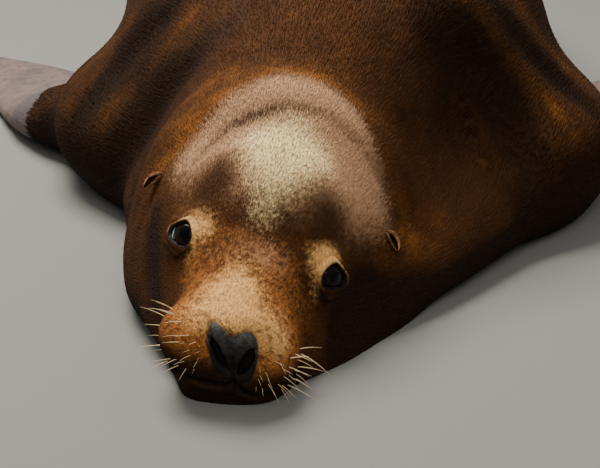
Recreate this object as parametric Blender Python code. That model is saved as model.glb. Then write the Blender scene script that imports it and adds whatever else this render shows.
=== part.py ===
"""Adult male California sea lion (Zalophus californianus), life size, lying prone with its chin on the floor.

The animal is one smooth body given by a signed distance: negative inside, zero on the skin, positive outside,
in metres. Long masses are sections swept along stations, the rest are ellipsoids and round cones, and soft
unions blend them. Each named solid is then a stack of rings cast onto that body between two cutting planes,
so that neighbours meet along a plane with a hairline gap.

Frame: +X is the animal's left, -Y the way it faces, +Z up, and the floor is z = 0.
"""
from math import cos, pi, radians, sin

import bmesh
import bpy
import numpy as np

# driving dimensions, metres
EYE_SPACING = 0.1490        # between the centres of the two corneas
EYE_RADIUS = 0.0205         # eyeball
EYE_GAP = 0.0005            # between the eyeball and its socket
EYE_RINGS = 10              # steps from pole to pole of the eyeball
LID_EDGE = 2 * pi / EYE_RINGS     # angle from the line of sight to the edge of the lids
HEAD_PLACE = (-0.0988, -0.8593, 0.0994)   # midpoint between the eyes
HEAD_YAW = radians(-5.4)    # the muzzle turns to the animal's right
HEAD_PITCH = radians(0.1)
HEAD_TILT = radians(15.0)   # the left cheek is the lower one
GAP = 0.0004                # between neighbouring solids
CLEARANCE = 0.0006          # under an ear or a claw
CREST_HEIGHT = 0.084        # top of the forehead above the eyes
NAPE_ROLL = 0.031           # radius of the fold of skin behind the head
SHOULDER_HEIGHT = 0.245     # start of the ridge over each shoulder
FLIPPER_REACH = 0.82        # from the shoulder to the tip of a foreflipper
HIND_REACH = 0.41           # from the ankle to the tip of a hind flipper
TAIL_TIP = 1.135            # y of the end of the tail
EAR_LENGTH = 0.021
EAR_LIFT = 0.007            # how far the ear's back stands off the head
CLAW_LENGTH = 0.022

# cutting planes between the solids
HEAD_BACK = 0.124           # along the head's own axis, in the crease behind the forehead
NECK_BACK = -0.600
CHEST_BACK = -0.200
TRUNK_BACK = 0.280
LOIN_BACK = 0.720
RUMP_BACK = 1.020
TAIL_SIDE = 0.031           # half the width of the slice that holds the tail
FLANK = {-1: 0.310, 1: 0.272}     # |x| where each foreflipper leaves the body
WRIST = {-1: 0.430, 1: 0.395}     # |x| where its furred forearm meets the bare blade

# the left foreflipper (side 1) lies a little further forward than the right
LIMB_SHIFT = {-1: (0.0, 0.0), 1: (-0.045, -0.075)}


# ---- numbers along a length
def curve(t, knots):
    """Smooth curve through (position, value) knots that never overshoots them."""
    knots = np.array(knots, float)
    x, y = knots[:, 0], knots[:, 1]
    step = np.diff(x)
    slope = np.diff(y) / step
    tangent = np.zeros(len(x))
    same = slope[:-1] * slope[1:] > 0
    w1, w2 = 2 * step[1:] + step[:-1], step[1:] + 2 * step[:-1]
    mean = w1 / np.where(same, slope[:-1], 1) + w2 / np.where(same, slope[1:], 1)
    tangent[1:-1] = np.where(same, (w1 + w2) / mean, 0)
    tangent[0], tangent[-1] = slope[0], slope[-1]
    t = np.clip(t, x[0], x[-1])
    i = np.clip(np.searchsorted(x, t, side="right") - 1, 0, len(step) - 1)
    s = (t - x[i]) / step[i]
    start = (1 + 2 * s) * (1 - s) ** 2 * y[i] + s * (1 - s) ** 2 * step[i] * tangent[i]
    finish = s * s * (3 - 2 * s) * y[i + 1] + s * s * (s - 1) * step[i] * tangent[i + 1]
    return start + finish


def fade(t, low, high):
    """0 below low, 1 above high, and a smooth S between."""
    s = np.clip((t - low) / (high - low), 0, 1)
    return s * s * (3 - 2 * s)


# ---- distances
def union(a, b, soft):
    """The nearer of two surfaces, blended where they come within `soft` of each other."""
    h = np.maximum(soft - np.abs(a - b), 0) / soft
    return np.minimum(a, b) - h * h * soft / 4


def common(a, b, soft):
    """The part that two shapes share, with a softened edge."""
    return -union(-a, -b, soft)


def section(x, z, half, top, bottom, level, n_up, n_low, end=0.0, end_reach=1.0):
    """Distance to a superellipse section: half as wide at `level`, from `bottom` up to `top`."""
    reach = np.where(z > level, top - level, level - bottom)
    n = n_low + (n_up - n_low) * fade((z - level) / (top - bottom), -0.2, 0.2)
    u = np.abs(x) / half + 1e-6
    v = np.abs(z - level) / reach + 1e-6
    w = end + 1e-9
    s = u ** n + v ** n + w ** n
    rho = s ** (1 / n)
    pull = (u ** (n - 1) / half) ** 2 + (v ** (n - 1) / reach) ** 2 + (w ** (n - 1) / end_reach) ** 2
    return (rho - 1) / (np.sqrt(pull) * s ** (1 / n - 1))


def ellipsoid(p, centre, radii, turn=None):
    q = p - np.array(centre)
    if turn is not None:
        q = q @ turn
    radii = np.array(radii)
    k0 = np.linalg.norm(q / radii, axis=1)
    k1 = np.linalg.norm(q / (radii * radii), axis=1) + 1e-9
    return k0 * (k0 - 1) / k1


def cone(p, a, b, r_a, r_b):
    """Distance to a round cone from a to b."""
    a, b = np.array(a, float), np.array(b, float)
    along = b - a
    t = np.clip(((p - a) @ along) / (along @ along), 0, 1)
    return np.linalg.norm(p - a - t[:, None] * along, axis=1) - (r_a + (r_b - r_a) * t)


def turn_x(a):
    return np.array([[1, 0, 0], [0, cos(a), -sin(a)], [0, sin(a), cos(a)]])


def turn_y(a):
    return np.array([[cos(a), 0, sin(a)], [0, 1, 0], [-sin(a), 0, cos(a)]])


def turn_z(a):
    return np.array([[cos(a), -sin(a), 0], [sin(a), cos(a), 0], [0, 0, 1]])


# ---- head, in its own frame: origin between the eyes, -y to the nose, +z to the crown
HEAD_TURN = turn_z(HEAD_YAW) @ turn_x(HEAD_PITCH) @ turn_y(HEAD_TILT)
GAZE = np.array([0.66, -0.66, 0.36]) / np.linalg.norm([0.66, -0.66, 0.36])
EYE_CENTRE = np.array([EYE_SPACING / 2, 0, -0.0016]) - (EYE_RADIUS - 0.0012) * GAZE

HEAD_TOP = [(-0.116, -0.026), (-0.108, -0.016), (-0.098, -0.010), (-0.065, 0.000), (-0.045, 0.006),
            (-0.020, 0.016), (0.000, 0.028), (0.030, 0.051), (0.060, 0.069), (0.085, 0.076), (0.150, 0.074)]
HEAD_BOTTOM = [(-0.116, -0.084), (-0.104, -0.098), (-0.085, -0.108), (0.220, -0.115)]
HEAD_HALF = [(-0.116, 0.030), (-0.098, 0.039), (-0.080, 0.046), (-0.045, 0.055),
             (-0.020, 0.063), (0.000, 0.074), (0.030, 0.091), (0.060, 0.103), (0.090, 0.110), (0.150, 0.117)]
CHEEK_HALF = [(-0.110, 0.028), (-0.085, 0.042), (-0.050, 0.069), (0.000, 0.107), (0.050, 0.130), (0.150, 0.152)]
CHEEK_TOP = [(-0.110, -0.066), (-0.070, -0.052), (0.000, -0.034), (0.040, -0.014), (0.080, 0.004), (0.150, 0.010)]
CHEEK_MIDDLE = [(-0.110, 0.004), (-0.050, 0.015), (0.000, 0.018), (0.060, 0.021), (0.150, 0.032)]
HEAD_LEVEL = [(-0.116, -0.042), (-0.095, -0.048), (-0.045, -0.045), (0.050, -0.035), (0.220, -0.030)]


# where each ear grows from, with x as if on the left, and the way its free end leans
EAR_ROOT = {-1: (0.1150, 0.0890, 0.0120), 1: (0.1155, 0.0800, 0.0230)}
EAR_LEAN = np.array([0.25, -0.15, -0.95]) / np.linalg.norm([0.25, -0.15, -0.95])


def to_head(p):
    return (p - np.array(HEAD_PLACE)) @ HEAD_TURN


def from_head(q):
    return np.asarray(q, float) @ HEAD_TURN.T + np.array(HEAD_PLACE)


def head(q):
    x, y, z = q.T
    m = np.column_stack([np.abs(x), y, z])
    receding = y + 0.20 * (z + 0.035)
    along = np.maximum(receding, -0.090)
    front = np.maximum(-0.090 - receding, 0) / 0.031
    half, top, bottom = curve(along, HEAD_HALF), curve(along, HEAD_TOP), curve(along, HEAD_BOTTOM)
    f = section(x, z, half, top, bottom, curve(along, HEAD_LEVEL), 2.15, 2.3, front, 0.031)
    f = common(f, y - 0.12, 0.05)
    crest = ellipsoid(q, (0, 0.064, 0.034), (0.054, 0.056, CREST_HEIGHT - 0.034))
    f = union(f, crest, 0.030)
    across = x - curve(y, CHEEK_MIDDLE)
    back = np.maximum(y - 0.12, 0) / 0.07
    cheeks = section(across, z, curve(y, CHEEK_HALF), curve(y, CHEEK_TOP), -0.118, -0.088, 2.0, 3.0, back, 0.07)
    cheeks = common(cheeks, -0.098 - y, 0.02)
    f = union(f, cheeks, 0.046)
    wider = np.column_stack([np.where(x < 0, -0.88 * x, x), y, z])
    whisker_pads = ellipsoid(wider, (0.030, -0.086, -0.055), (0.028, 0.031, 0.025))
    f = union(f, whisker_pads, 0.026)
    chin = ellipsoid(q, (0.010, -0.074, -0.090), (0.031, 0.031, 0.020))
    f = union(f, chin, 0.012)
    leaning = np.column_stack([x + 0.27 * (z + 0.030), y, z])
    nose = ellipsoid(leaning, (0, -0.1085, -0.0385), (0.0215, 0.0175, 0.0220))
    f = union(f, nose, 0.006)
    lids = np.linalg.norm(m - (EYE_CENTRE - 0.0070 * GAZE), axis=1) - (EYE_RADIUS + 0.0034)
    return union(f, lids, 0.022)


def nape(q):
    """The fold of skin behind the head: a ring about the head's long axis."""
    x, y, z = q.T
    lean = y - 0.152 - 0.10 * (z - 0.10)
    radius = np.hypot(x, z + 0.010)
    return np.hypot(radius - 0.105, 0.8 * lean) - NAPE_ROLL


# ---- neck, chest, trunk, loin and rump as one swept mass
BODY_MIDDLE = [(-0.95, -0.110), (-0.80, -0.094), (-0.72, -0.084), (-0.65, -0.064), (-0.57, -0.036),
               (-0.50, -0.016), (-0.40, -0.014), (-0.20, -0.018), (0.10, -0.018), (0.60, 0.0), (1.20, 0.0)]
BODY_HALF = [(-0.86, 0.095), (-0.80, 0.112), (-0.72, 0.128), (-0.65, 0.152), (-0.57, 0.194), (-0.50, 0.236),
             (-0.40, 0.266), (-0.10, 0.278), (0.10, 0.285), (0.30, 0.274), (0.50, 0.242), (0.70, 0.192),
             (0.85, 0.146), (0.95, 0.114), (1.05, 0.080), (1.12, 0.040)]
BODY_TOP = [(-0.86, 0.140), (-0.80, 0.165), (-0.72, 0.205), (-0.66, 0.240), (-0.60, 0.275), (-0.50, 0.325),
            (-0.40, 0.362), (-0.20, 0.405), (0.00, 0.418), (0.20, 0.405), (0.40, 0.365), (0.60, 0.300),
            (0.80, 0.218), (0.95, 0.158), (1.05, 0.115), (1.12, 0.080)]
BODY_LEVEL = [(-0.86, 0.30), (-0.20, 0.36), (1.12, 0.37)]
# the blubber of the neck and chest, spread on the floor
SPREAD_MIDDLE = [(-0.95, -0.100), (-0.80, -0.078), (-0.72, -0.056), (-0.65, -0.034), (-0.57, -0.012),
                 (-0.50, -0.010), (-0.20, -0.018)]
SPREAD_HALF = [(-0.86, 0.102), (-0.80, 0.134), (-0.72, 0.177), (-0.65, 0.210), (-0.57, 0.250), (-0.50, 0.268),
               (-0.40, 0.262), (-0.25, 0.220)]
SPREAD_TOP = [(-0.86, 0.080), (-0.72, 0.105), (-0.57, 0.150), (-0.45, 0.170), (-0.25, 0.130)]


def body(p):
    x, y, z = p.T
    top, low_top = curve(y, BODY_TOP), curve(y, SPREAD_TOP)
    front = np.maximum(-0.76 - y, 0) / 0.08
    rear = np.maximum(y - 1.0, 0) / 0.09
    end = np.where(y < 0, front, rear)
    across = x - curve(y, BODY_MIDDLE)
    level = curve(y, BODY_LEVEL) * top
    trunk = section(across, z, curve(y, BODY_HALF), top, -0.008, level, 2.1, 2.7, end, 0.09)
    across = x - curve(y, SPREAD_MIDDLE)
    end = front + np.maximum(y + 0.30, 0) / 0.09
    spread = section(across, z, curve(y, SPREAD_HALF), low_top, -0.008, 0.30 * low_top, 2.0, 3.2, end, 0.09)
    return union(trunk, spread, 0.06)


# ---- foreflippers
SHOULDER = (0.20, -0.42)           # |x|, y of the shoulder, where a foreflipper's length starts
FORE_ALONG = np.array([0.51, 0.86])
FORE_AHEAD = np.array([0.86, -0.51])
FORE_LEAD = [(0.00, 0.050), (0.10, 0.070), (0.17, 0.097), (0.22, 0.113), (0.28, 0.118), (0.36, 0.108),
             (0.42, 0.099), (0.65, 0.098), (0.72, 0.098), (0.78, 0.088), (0.82, 0.070)]
FORE_TRAIL = [(0.00, -0.100), (0.20, -0.120), (0.32, -0.110), (0.45, -0.095), (0.58, -0.067), (0.64, -0.040),
              (0.70, -0.008), (0.76, 0.028), (0.82, 0.060)]
FORE_TOP = [(0.00, 0.200), (0.10, 0.150), (0.20, 0.108), (0.28, 0.078), (0.33, 0.060), (0.38, 0.040),
            (0.45, 0.028), (0.60, 0.022), (0.75, 0.016), (0.82, 0.012)]


def limb_frame(p, side):
    shift = LIMB_SHIFT[side]
    return np.column_stack([side * p[:, 0] - shift[0], p[:, 1] - shift[1], p[:, 2]])


def shoulder(p, side):
    m = limb_frame(p, side)
    upper_arm = ellipsoid(m, (0.215, -0.375, 0.075), (0.150, 0.155, 0.105), turn_z(radians(-25)))
    ridge = cone(m, (0.130, -0.46, SHOULDER_HEIGHT), (0.205, -0.415, 0.155), 0.050, 0.045)
    lower = cone(m, (0.205, -0.415, 0.155), (0.290, -0.345, 0.068), 0.045, 0.050)
    return union(upper_arm, union(ridge, lower, 0.03), 0.04)


def foreflipper(p, side):
    m = limb_frame(p, side)[:, :2] - SHOULDER
    s, u = m @ FORE_ALONG, m @ FORE_AHEAD
    lead, trail, top = curve(s, FORE_LEAD), curve(s, FORE_TRAIL), curve(s, FORE_TOP)
    root = np.maximum(0.02 - s, 0) / 0.12
    tip = np.maximum(s - (FLIPPER_REACH - 0.03), 0) / 0.035
    end = np.where(s < 0.4, root, tip)
    return section(u - (lead + trail) / 2, p[:, 2], (lead - trail) / 2, top, -0.004, 0.36 * top, 2.2, 2.6, end, 0.05)


# ---- hind flippers and tail
ANKLE = (0.060, 0.970)
HIND_ALONG = np.array([0.342, 0.940])
HIND_ACROSS = np.array([0.940, -0.342])
HIND_HALF = [(0.00, 0.058), (0.08, 0.058), (0.16, 0.066), (0.28, 0.086), (0.36, 0.094), (0.42, 0.088)]
HIND_TOP = [(0.00, 0.100), (0.08, 0.070), (0.16, 0.045), (0.28, 0.026), (0.36, 0.018), (0.42, 0.012)]
TOES = 5


def hind_flipper(p):
    m = np.column_stack([np.abs(p[:, 0]), p[:, 1]]) - ANKLE
    s, u = m @ HIND_ALONG, m @ HIND_ACROSS
    half, top = curve(s, HIND_HALF), curve(s, HIND_TOP)
    spread = np.clip((s - 0.10) / 0.25, 0, 1)
    toe = np.cos(2 * pi * TOES * (u / half + 1) / 2)
    top = top * (1 - 0.16 * spread * (1 + toe) / 2)
    reach = HIND_REACH - 0.04 + spread * (0.022 * (u / half) ** 2 - 0.010 * toe)
    heel, tip = np.maximum(-s, 0) / 0.05, np.maximum(s - reach, 0) / 0.03
    return section(u, p[:, 2], half, top, -0.003, 0.36 * top, 2.2, 2.4, np.where(s < 0.2, heel, tip), 0.03)


def tail(p):
    return cone(p, (0, 1.02, 0.065), (0, TAIL_TIP - 0.014, 0.046), 0.040, 0.015)


# ---- long hollows on both sides of the ridge from the withers to each foreflipper: points, width, depth
SHOULDER_HOLLOWS = [
    ([(-0.140, -0.606, 0.250), (-0.180, -0.606, 0.206), (-0.214, -0.590, 0.168), (-0.242, -0.568, 0.126),
      (-0.262, -0.556, 0.090), (-0.280, -0.552, 0.040), (-0.290, -0.552, 0.000)], 0.028, 0.013),
    ([(-0.186, -0.505, 0.275), (-0.212, -0.500, 0.236), (-0.243, -0.474, 0.200), (-0.276, -0.462, 0.165),
      (-0.310, -0.468, 0.120), (-0.325, -0.470, 0.070)], 0.020, 0.006),
    ([(0.090, -0.600, 0.262), (0.118, -0.590, 0.218), (0.140, -0.585, 0.186), (0.160, -0.588, 0.158),
      (0.181, -0.597, 0.130), (0.195, -0.612, 0.100), (0.200, -0.630, 0.060)], 0.026, 0.011),
    ([(0.146, -0.522, 0.268), (0.176, -0.520, 0.226), (0.198, -0.520, 0.200), (0.226, -0.514, 0.174),
      (0.262, -0.516, 0.142), (0.285, -0.520, 0.100)], 0.017, 0.006),
]


def from_line(p, points):
    """Distance to a bent line, and the share of the way along it."""
    points = np.array(points, float)
    best, share = np.full(len(p), 1e9), np.zeros(len(p))
    for i in range(len(points) - 1):
        along = points[i + 1] - points[i]
        t = np.clip(((p - points[i]) @ along) / (along @ along), 0, 1)
        d = np.linalg.norm(p - points[i] - t[:, None] * along, axis=1)
        share = np.where(d < best, (i + t) / (len(points) - 1), share)
        best = np.minimum(best, d)
    return best, share


def shoulder_folds(p):
    """How far the long hollows press the surface in: a bell across each, tapered at both ends."""
    pressed = np.zeros(len(p))
    near = np.abs(p[:, 1] + 0.53) < 0.20
    for points, wide, deep in SHOULDER_HOLLOWS:
        d, share = from_line(p[near], points)
        pressed[near] += deep * np.exp(-(d / wide) ** 2) * fade(share, 0.0, 0.25) * fade(share, 1.0, 0.75)
    return pressed


def whole(p):
    """Distance to the whole animal, cut flat where it lies on the floor."""
    q = to_head(p)
    f = union(body(p), union(nape(q), head(q), 0.030), 0.032)
    for side in (-1, 1):
        f = union(f, shoulder(p, side), 0.05)
        f = union(f, foreflipper(p, side), 0.05)
    f = union(f, hind_flipper(p), 0.04)
    f = union(f, tail(p), 0.03) + shoulder_folds(p)
    return np.maximum(f, -p[:, 2])


# ---- solids
def cast(field, start, aim, reach=0.8, steps=90, halvings=26):
    """Points where rays from `start` along `aim` first leave the body."""
    t = np.linspace(0, reach, steps)
    p = start[:, None] + t[None, :, None] * aim[:, None]
    f = field(p.reshape(-1, 3)).reshape(len(start), steps)
    first = np.argmax(f > 0, axis=1)
    low, high = t[np.maximum(first - 1, 0)], t[first]
    for _ in range(halvings):
        middle = (low + high) / 2
        out = field(start + middle[:, None] * aim) > 0
        high = np.where(out, middle, high)
        low = np.where(out, low, middle)
    return start + ((low + high) / 2)[:, None] * aim


def rings(field, centres, normals, wide, tall, around):
    """One closed ring of points in each plane (centre, normal), from rays spread over an ellipse."""
    centres, normals = np.array(centres, float), np.array(normals, float)
    normals /= np.linalg.norm(normals, axis=1)[:, None]
    up = np.array([0.0, 0.0, 1.0]) - normals * normals[:, 2:3]
    up /= np.linalg.norm(up, axis=1)[:, None]
    side = np.cross(up, normals)
    angle = 2 * pi * (np.arange(around) + 0.5) / around
    across = np.broadcast_to(np.asarray(wide, float), len(centres))
    upward = np.broadcast_to(np.asarray(tall, float), len(centres))
    aim = (side[:, None] * (across[:, None] * np.cos(angle))[..., None]
           + up[:, None] * (upward[:, None] * np.sin(angle))[..., None])
    aim /= np.linalg.norm(aim, axis=2)[..., None]
    start = np.repeat(centres[:, None], around, axis=1)
    found = cast(field, start.reshape(-1, 3), aim.reshape(-1, 3))
    return found.reshape(len(centres), around, 3), centres


def solid(name, finish, ring_points, centres):
    """A closed object skinned over a stack of rings, capped by a fan at each end."""
    count, around, _ = ring_points.shape
    mesh = bpy.data.meshes.new(name)
    work = bmesh.new()
    rows = [[work.verts.new(p) for p in ring] for ring in ring_points]
    for a, b in zip(rows[:-1], rows[1:]):
        for i in range(around):
            j = (i + 1) % around
            work.faces.new((a[i], b[i], b[j], a[j]))
    for row, middle in ((rows[0], centres[0]), (rows[-1], centres[-1])):
        hub = work.verts.new(middle)
        for i in range(around):
            work.faces.new((row[i], row[(i + 1) % around], hub))
    bmesh.ops.triangulate(work, faces=[face for face in work.faces if len(face.verts) > 3])
    return closed_object(name, finish, mesh, work)


def closed_object(name, finish, mesh, work):
    """Turn the faces outward and put the mesh in the scene with its material."""
    bmesh.ops.recalc_face_normals(work, faces=work.faces)
    if work.calc_volume(signed=True) < 0:
        bmesh.ops.reverse_faces(work, faces=work.faces)
    work.to_mesh(mesh)
    work.free()
    mesh.materials.append(finish)
    thing = bpy.data.objects.new(name, mesh)
    bpy.context.collection.objects.link(thing)
    return thing


def material(name, colour, roughness, metallic=0.0):
    finish = bpy.data.materials.new(name)
    finish.use_nodes = True
    shader = finish.node_tree.nodes["Principled BSDF"]
    shader.inputs["Base Color"].default_value = (*colour, 1)
    shader.inputs["Roughness"].default_value = roughness
    shader.inputs["Metallic"].default_value = metallic
    return finish


def cut_away(thing, cutter):
    """Take the cutter's shape out of a solid and keep the cutter as a hidden helper."""
    tool = thing.modifiers.new("cut", "BOOLEAN")
    tool.operation = "DIFFERENCE"
    tool.solver = "EXACT"
    tool.object = cutter
    cutter.hide_render = True
    cutter.display_type = "WIRE"


def round_profile(radius, start, rings):
    """(distance, radius) pairs down a sphere, from the angle `start` off its front pole to its back pole."""
    return [(radius * cos(a), radius * sin(a)) for a in np.linspace(start, pi, rings)]


def turned(name, finish, centre, along, profile, segments=16):
    """A closed solid turned about the line `along`: a ring at each (distance, radius), with a pole at each end."""
    axis = np.array(along) / np.linalg.norm(along)
    side = np.cross(axis, (0, 0, 1.0))
    side /= np.linalg.norm(side)
    other = np.cross(axis, side)
    mesh = bpy.data.meshes.new(name)
    work = bmesh.new()
    rows = []
    for distance, radius in profile[1:-1]:
        turn = [2 * pi * i / segments for i in range(segments)]
        points = [centre + distance * axis + radius * (side * cos(t) + other * sin(t)) for t in turn]
        rows.append([work.verts.new(p) for p in points])
    for a, b in zip(rows[:-1], rows[1:]):
        for i in range(segments):
            j = (i + 1) % segments
            work.faces.new((a[i], b[i], b[j], a[j]))
    for row, pole in ((rows[0], centre + profile[0][0] * axis), (rows[-1], centre + profile[-1][0] * axis)):
        hub = work.verts.new(pole)
        for i in range(segments):
            work.faces.new((row[i], row[(i + 1) % segments], hub))
    return closed_object(name, finish, mesh, work)


def stand_off(name, finish, centres, direction, width, depth, around):
    """A tapered solid along a line of centres, pushed out of the body wherever it would touch it."""
    axis = direction / np.linalg.norm(direction)
    side = np.cross(axis, (0, 0, 1.0))
    side /= np.linalg.norm(side)
    other = np.cross(side, axis)
    angle = 2 * pi * np.arange(around) / around
    shape = (side * np.cos(angle)[:, None])[None] * width[:, None, None]
    shape = shape + (other * np.sin(angle)[:, None])[None] * depth[:, None, None]
    found = (centres[:, None] + shape).reshape(-1, 3)
    found = lift(found).reshape(len(centres), around, 3)
    return solid(name, finish, found, lift(found.mean(axis=1)))


def outward(p, step=0.0005):
    """Unit vectors pointing straight out of the body at each point."""
    slope = np.column_stack([whole(p + step * e) - whole(p - step * e) for e in np.eye(3)])
    return slope / (np.linalg.norm(slope, axis=1)[:, None] + 1e-12)


def lift(p):
    """Move points that are in the body, or nearly, out to CLEARANCE from it."""
    for _ in range(3):
        p = p + outward(p) * np.maximum(CLEARANCE - whole(p), 0)[:, None]
    return p


def ear(name, root, lean, around=14):
    """A small cone that leaves the head square to its surface and bends over towards `lean`, just clear of it."""
    for _ in range(8):
        root = root - outward(root[None])[0] * whole(root[None])[0]
    out = outward(root[None])[0]
    along = lean - out * (lean @ out)
    along /= np.linalg.norm(along)
    side = np.cross(out, along)
    t = np.array([0.0, 0.12, 0.28, 0.46, 0.64, 0.80, 0.92, 0.98])
    rise, run = EAR_LIFT * (1 - (1 - t) ** 2), EAR_LENGTH * t ** 1.4
    centres = root + out * (rise + 0.0015)[:, None] + along * run[:, None]
    heading = out * (2 * EAR_LIFT * (1 - t) + 0.001)[:, None] + along * (1.4 * EAR_LENGTH * t ** 0.4)[:, None]
    heading /= np.linalg.norm(heading, axis=1)[:, None]
    across = np.cross(side, heading)
    width = curve(t, [(0, 0.0050), (0.28, 0.0064), (0.64, 0.0058), (0.92, 0.0030), (1, 0.0010)])[:, None, None]
    angle = 2 * pi * np.arange(around) / around
    ring = side * np.cos(angle)[:, None] + 0.72 * across[:, None] * np.sin(angle)[:, None]
    points = centres[:, None] + width * ring
    clear = whole(points.reshape(-1, 3)).min()
    points, centres = points + out * max(CLEARANCE - clear, 0), centres + out * max(CLEARANCE - clear, 0)
    return solid(name, FUR, points, centres)


def spaced(a, b, count):
    return np.linspace(a, b, count)


# ---- the scene
for old in list(bpy.data.objects):
    bpy.data.objects.remove(old)

FUR = material("fur", (0.095, 0.045, 0.022), 0.75)
BARE_SKIN = material("bare_skin", (0.16, 0.12, 0.11), 0.55)
EYE = material("eye", (0.012, 0.008, 0.006), 0.08)
CLAW = material("claw", (0.05, 0.04, 0.035), 0.35)

# head: rings square to its own axis, from the crease behind the forehead to the nose
HEAD_AXIS = HEAD_TURN @ np.array([0, 1.0, 0])
stations = np.concatenate([spaced(HEAD_BACK, 0.020, 9), spaced(0.009, -0.100, 12), (-0.108, -0.115, -0.120)])
middle = curve(stations, [(-0.122, -0.040), (-0.110, -0.046), (0.0, -0.030), (0.124, -0.010)])
places = from_head(np.column_stack([0 * stations, stations, middle]))
found, centres = rings(whole, places, [HEAD_AXIS] * len(places), 1.0, 0.9, 52)
head_solid = solid("head", FUR, found, centres)

# eyes: balls in sockets, which widen forwards from the edge of the lids
for side, label in ((-1, "right"), (1, "left")):
    flip = np.array([side, 1, 1])
    centre, gaze = from_head(flip * EYE_CENTRE), HEAD_TURN @ (flip * GAZE)
    turned("eye_" + label, EYE, centre, gaze, round_profile(EYE_RADIUS, 0, EYE_RINGS + 1))
    wall = round_profile(EYE_RADIUS + EYE_GAP, LID_EDGE, EYE_RINGS - 1)
    mouth = [(2.0 * EYE_RADIUS, 0), (1.9 * EYE_RADIUS, 1.2 * wall[0][1])]
    socket = turned("socket_" + label, EYE, centre, gaze, mouth + wall)
    cut_away(head_solid, socket)

# neck: the rings fan from the head's plane to the chest's
NECK_RINGS = 12
start, finish = from_head((0, HEAD_BACK + GAP, -0.010)), np.array([-0.020, NECK_BACK, 0.100])
blend = spaced(0, 1, NECK_RINGS)[:, None]
places = start + (finish - start) * blend
normals = HEAD_AXIS + (np.array([0, 1.0, 0]) - HEAD_AXIS) * blend
found, centres = rings(whole, places, normals, 1.0, 0.9, 44)
solid("neck", FUR, found, centres)


def between_flanks(p):
    return np.maximum(whole(p), np.maximum(-p[:, 0] - FLANK[-1] + GAP, p[:, 0] - FLANK[1] + GAP))


# chest, trunk, loin and rump: rings square to the body's axis
for name, a, b, count, around in (("chest", NECK_BACK, CHEST_BACK, 13, 42), ("trunk", CHEST_BACK, TRUNK_BACK, 9, 36),
                                  ("loin", TRUNK_BACK, LOIN_BACK, 8, 32), ("rump", LOIN_BACK, RUMP_BACK, 8, 32)):
    stations = spaced(a + GAP, b, count)
    height = 0.36 * curve(stations, BODY_TOP)
    places = np.column_stack([curve(stations, BODY_MIDDLE), stations, height])
    found, centres = rings(between_flanks, places, [(0, 1.0, 0)] * count, 1.0, 0.85, around)
    solid(name, FUR, found, centres)

# tail: a slice between the hind flippers
stations = np.concatenate([spaced(RUMP_BACK + GAP, TAIL_TIP - 0.012, 6), (TAIL_TIP - 0.004, TAIL_TIP - 0.0008)])
places = np.column_stack([0 * stations, stations, curve(stations, [(1.02, 0.060), (TAIL_TIP, 0.046)])])
found, centres = rings(lambda p: np.maximum(whole(p), np.abs(p[:, 0]) - TAIL_SIDE + GAP), places,
                       [(0, 1.0, 0)] * len(places), 1.0, 1.0, 16)
solid("tail", FUR, found, centres)

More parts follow.
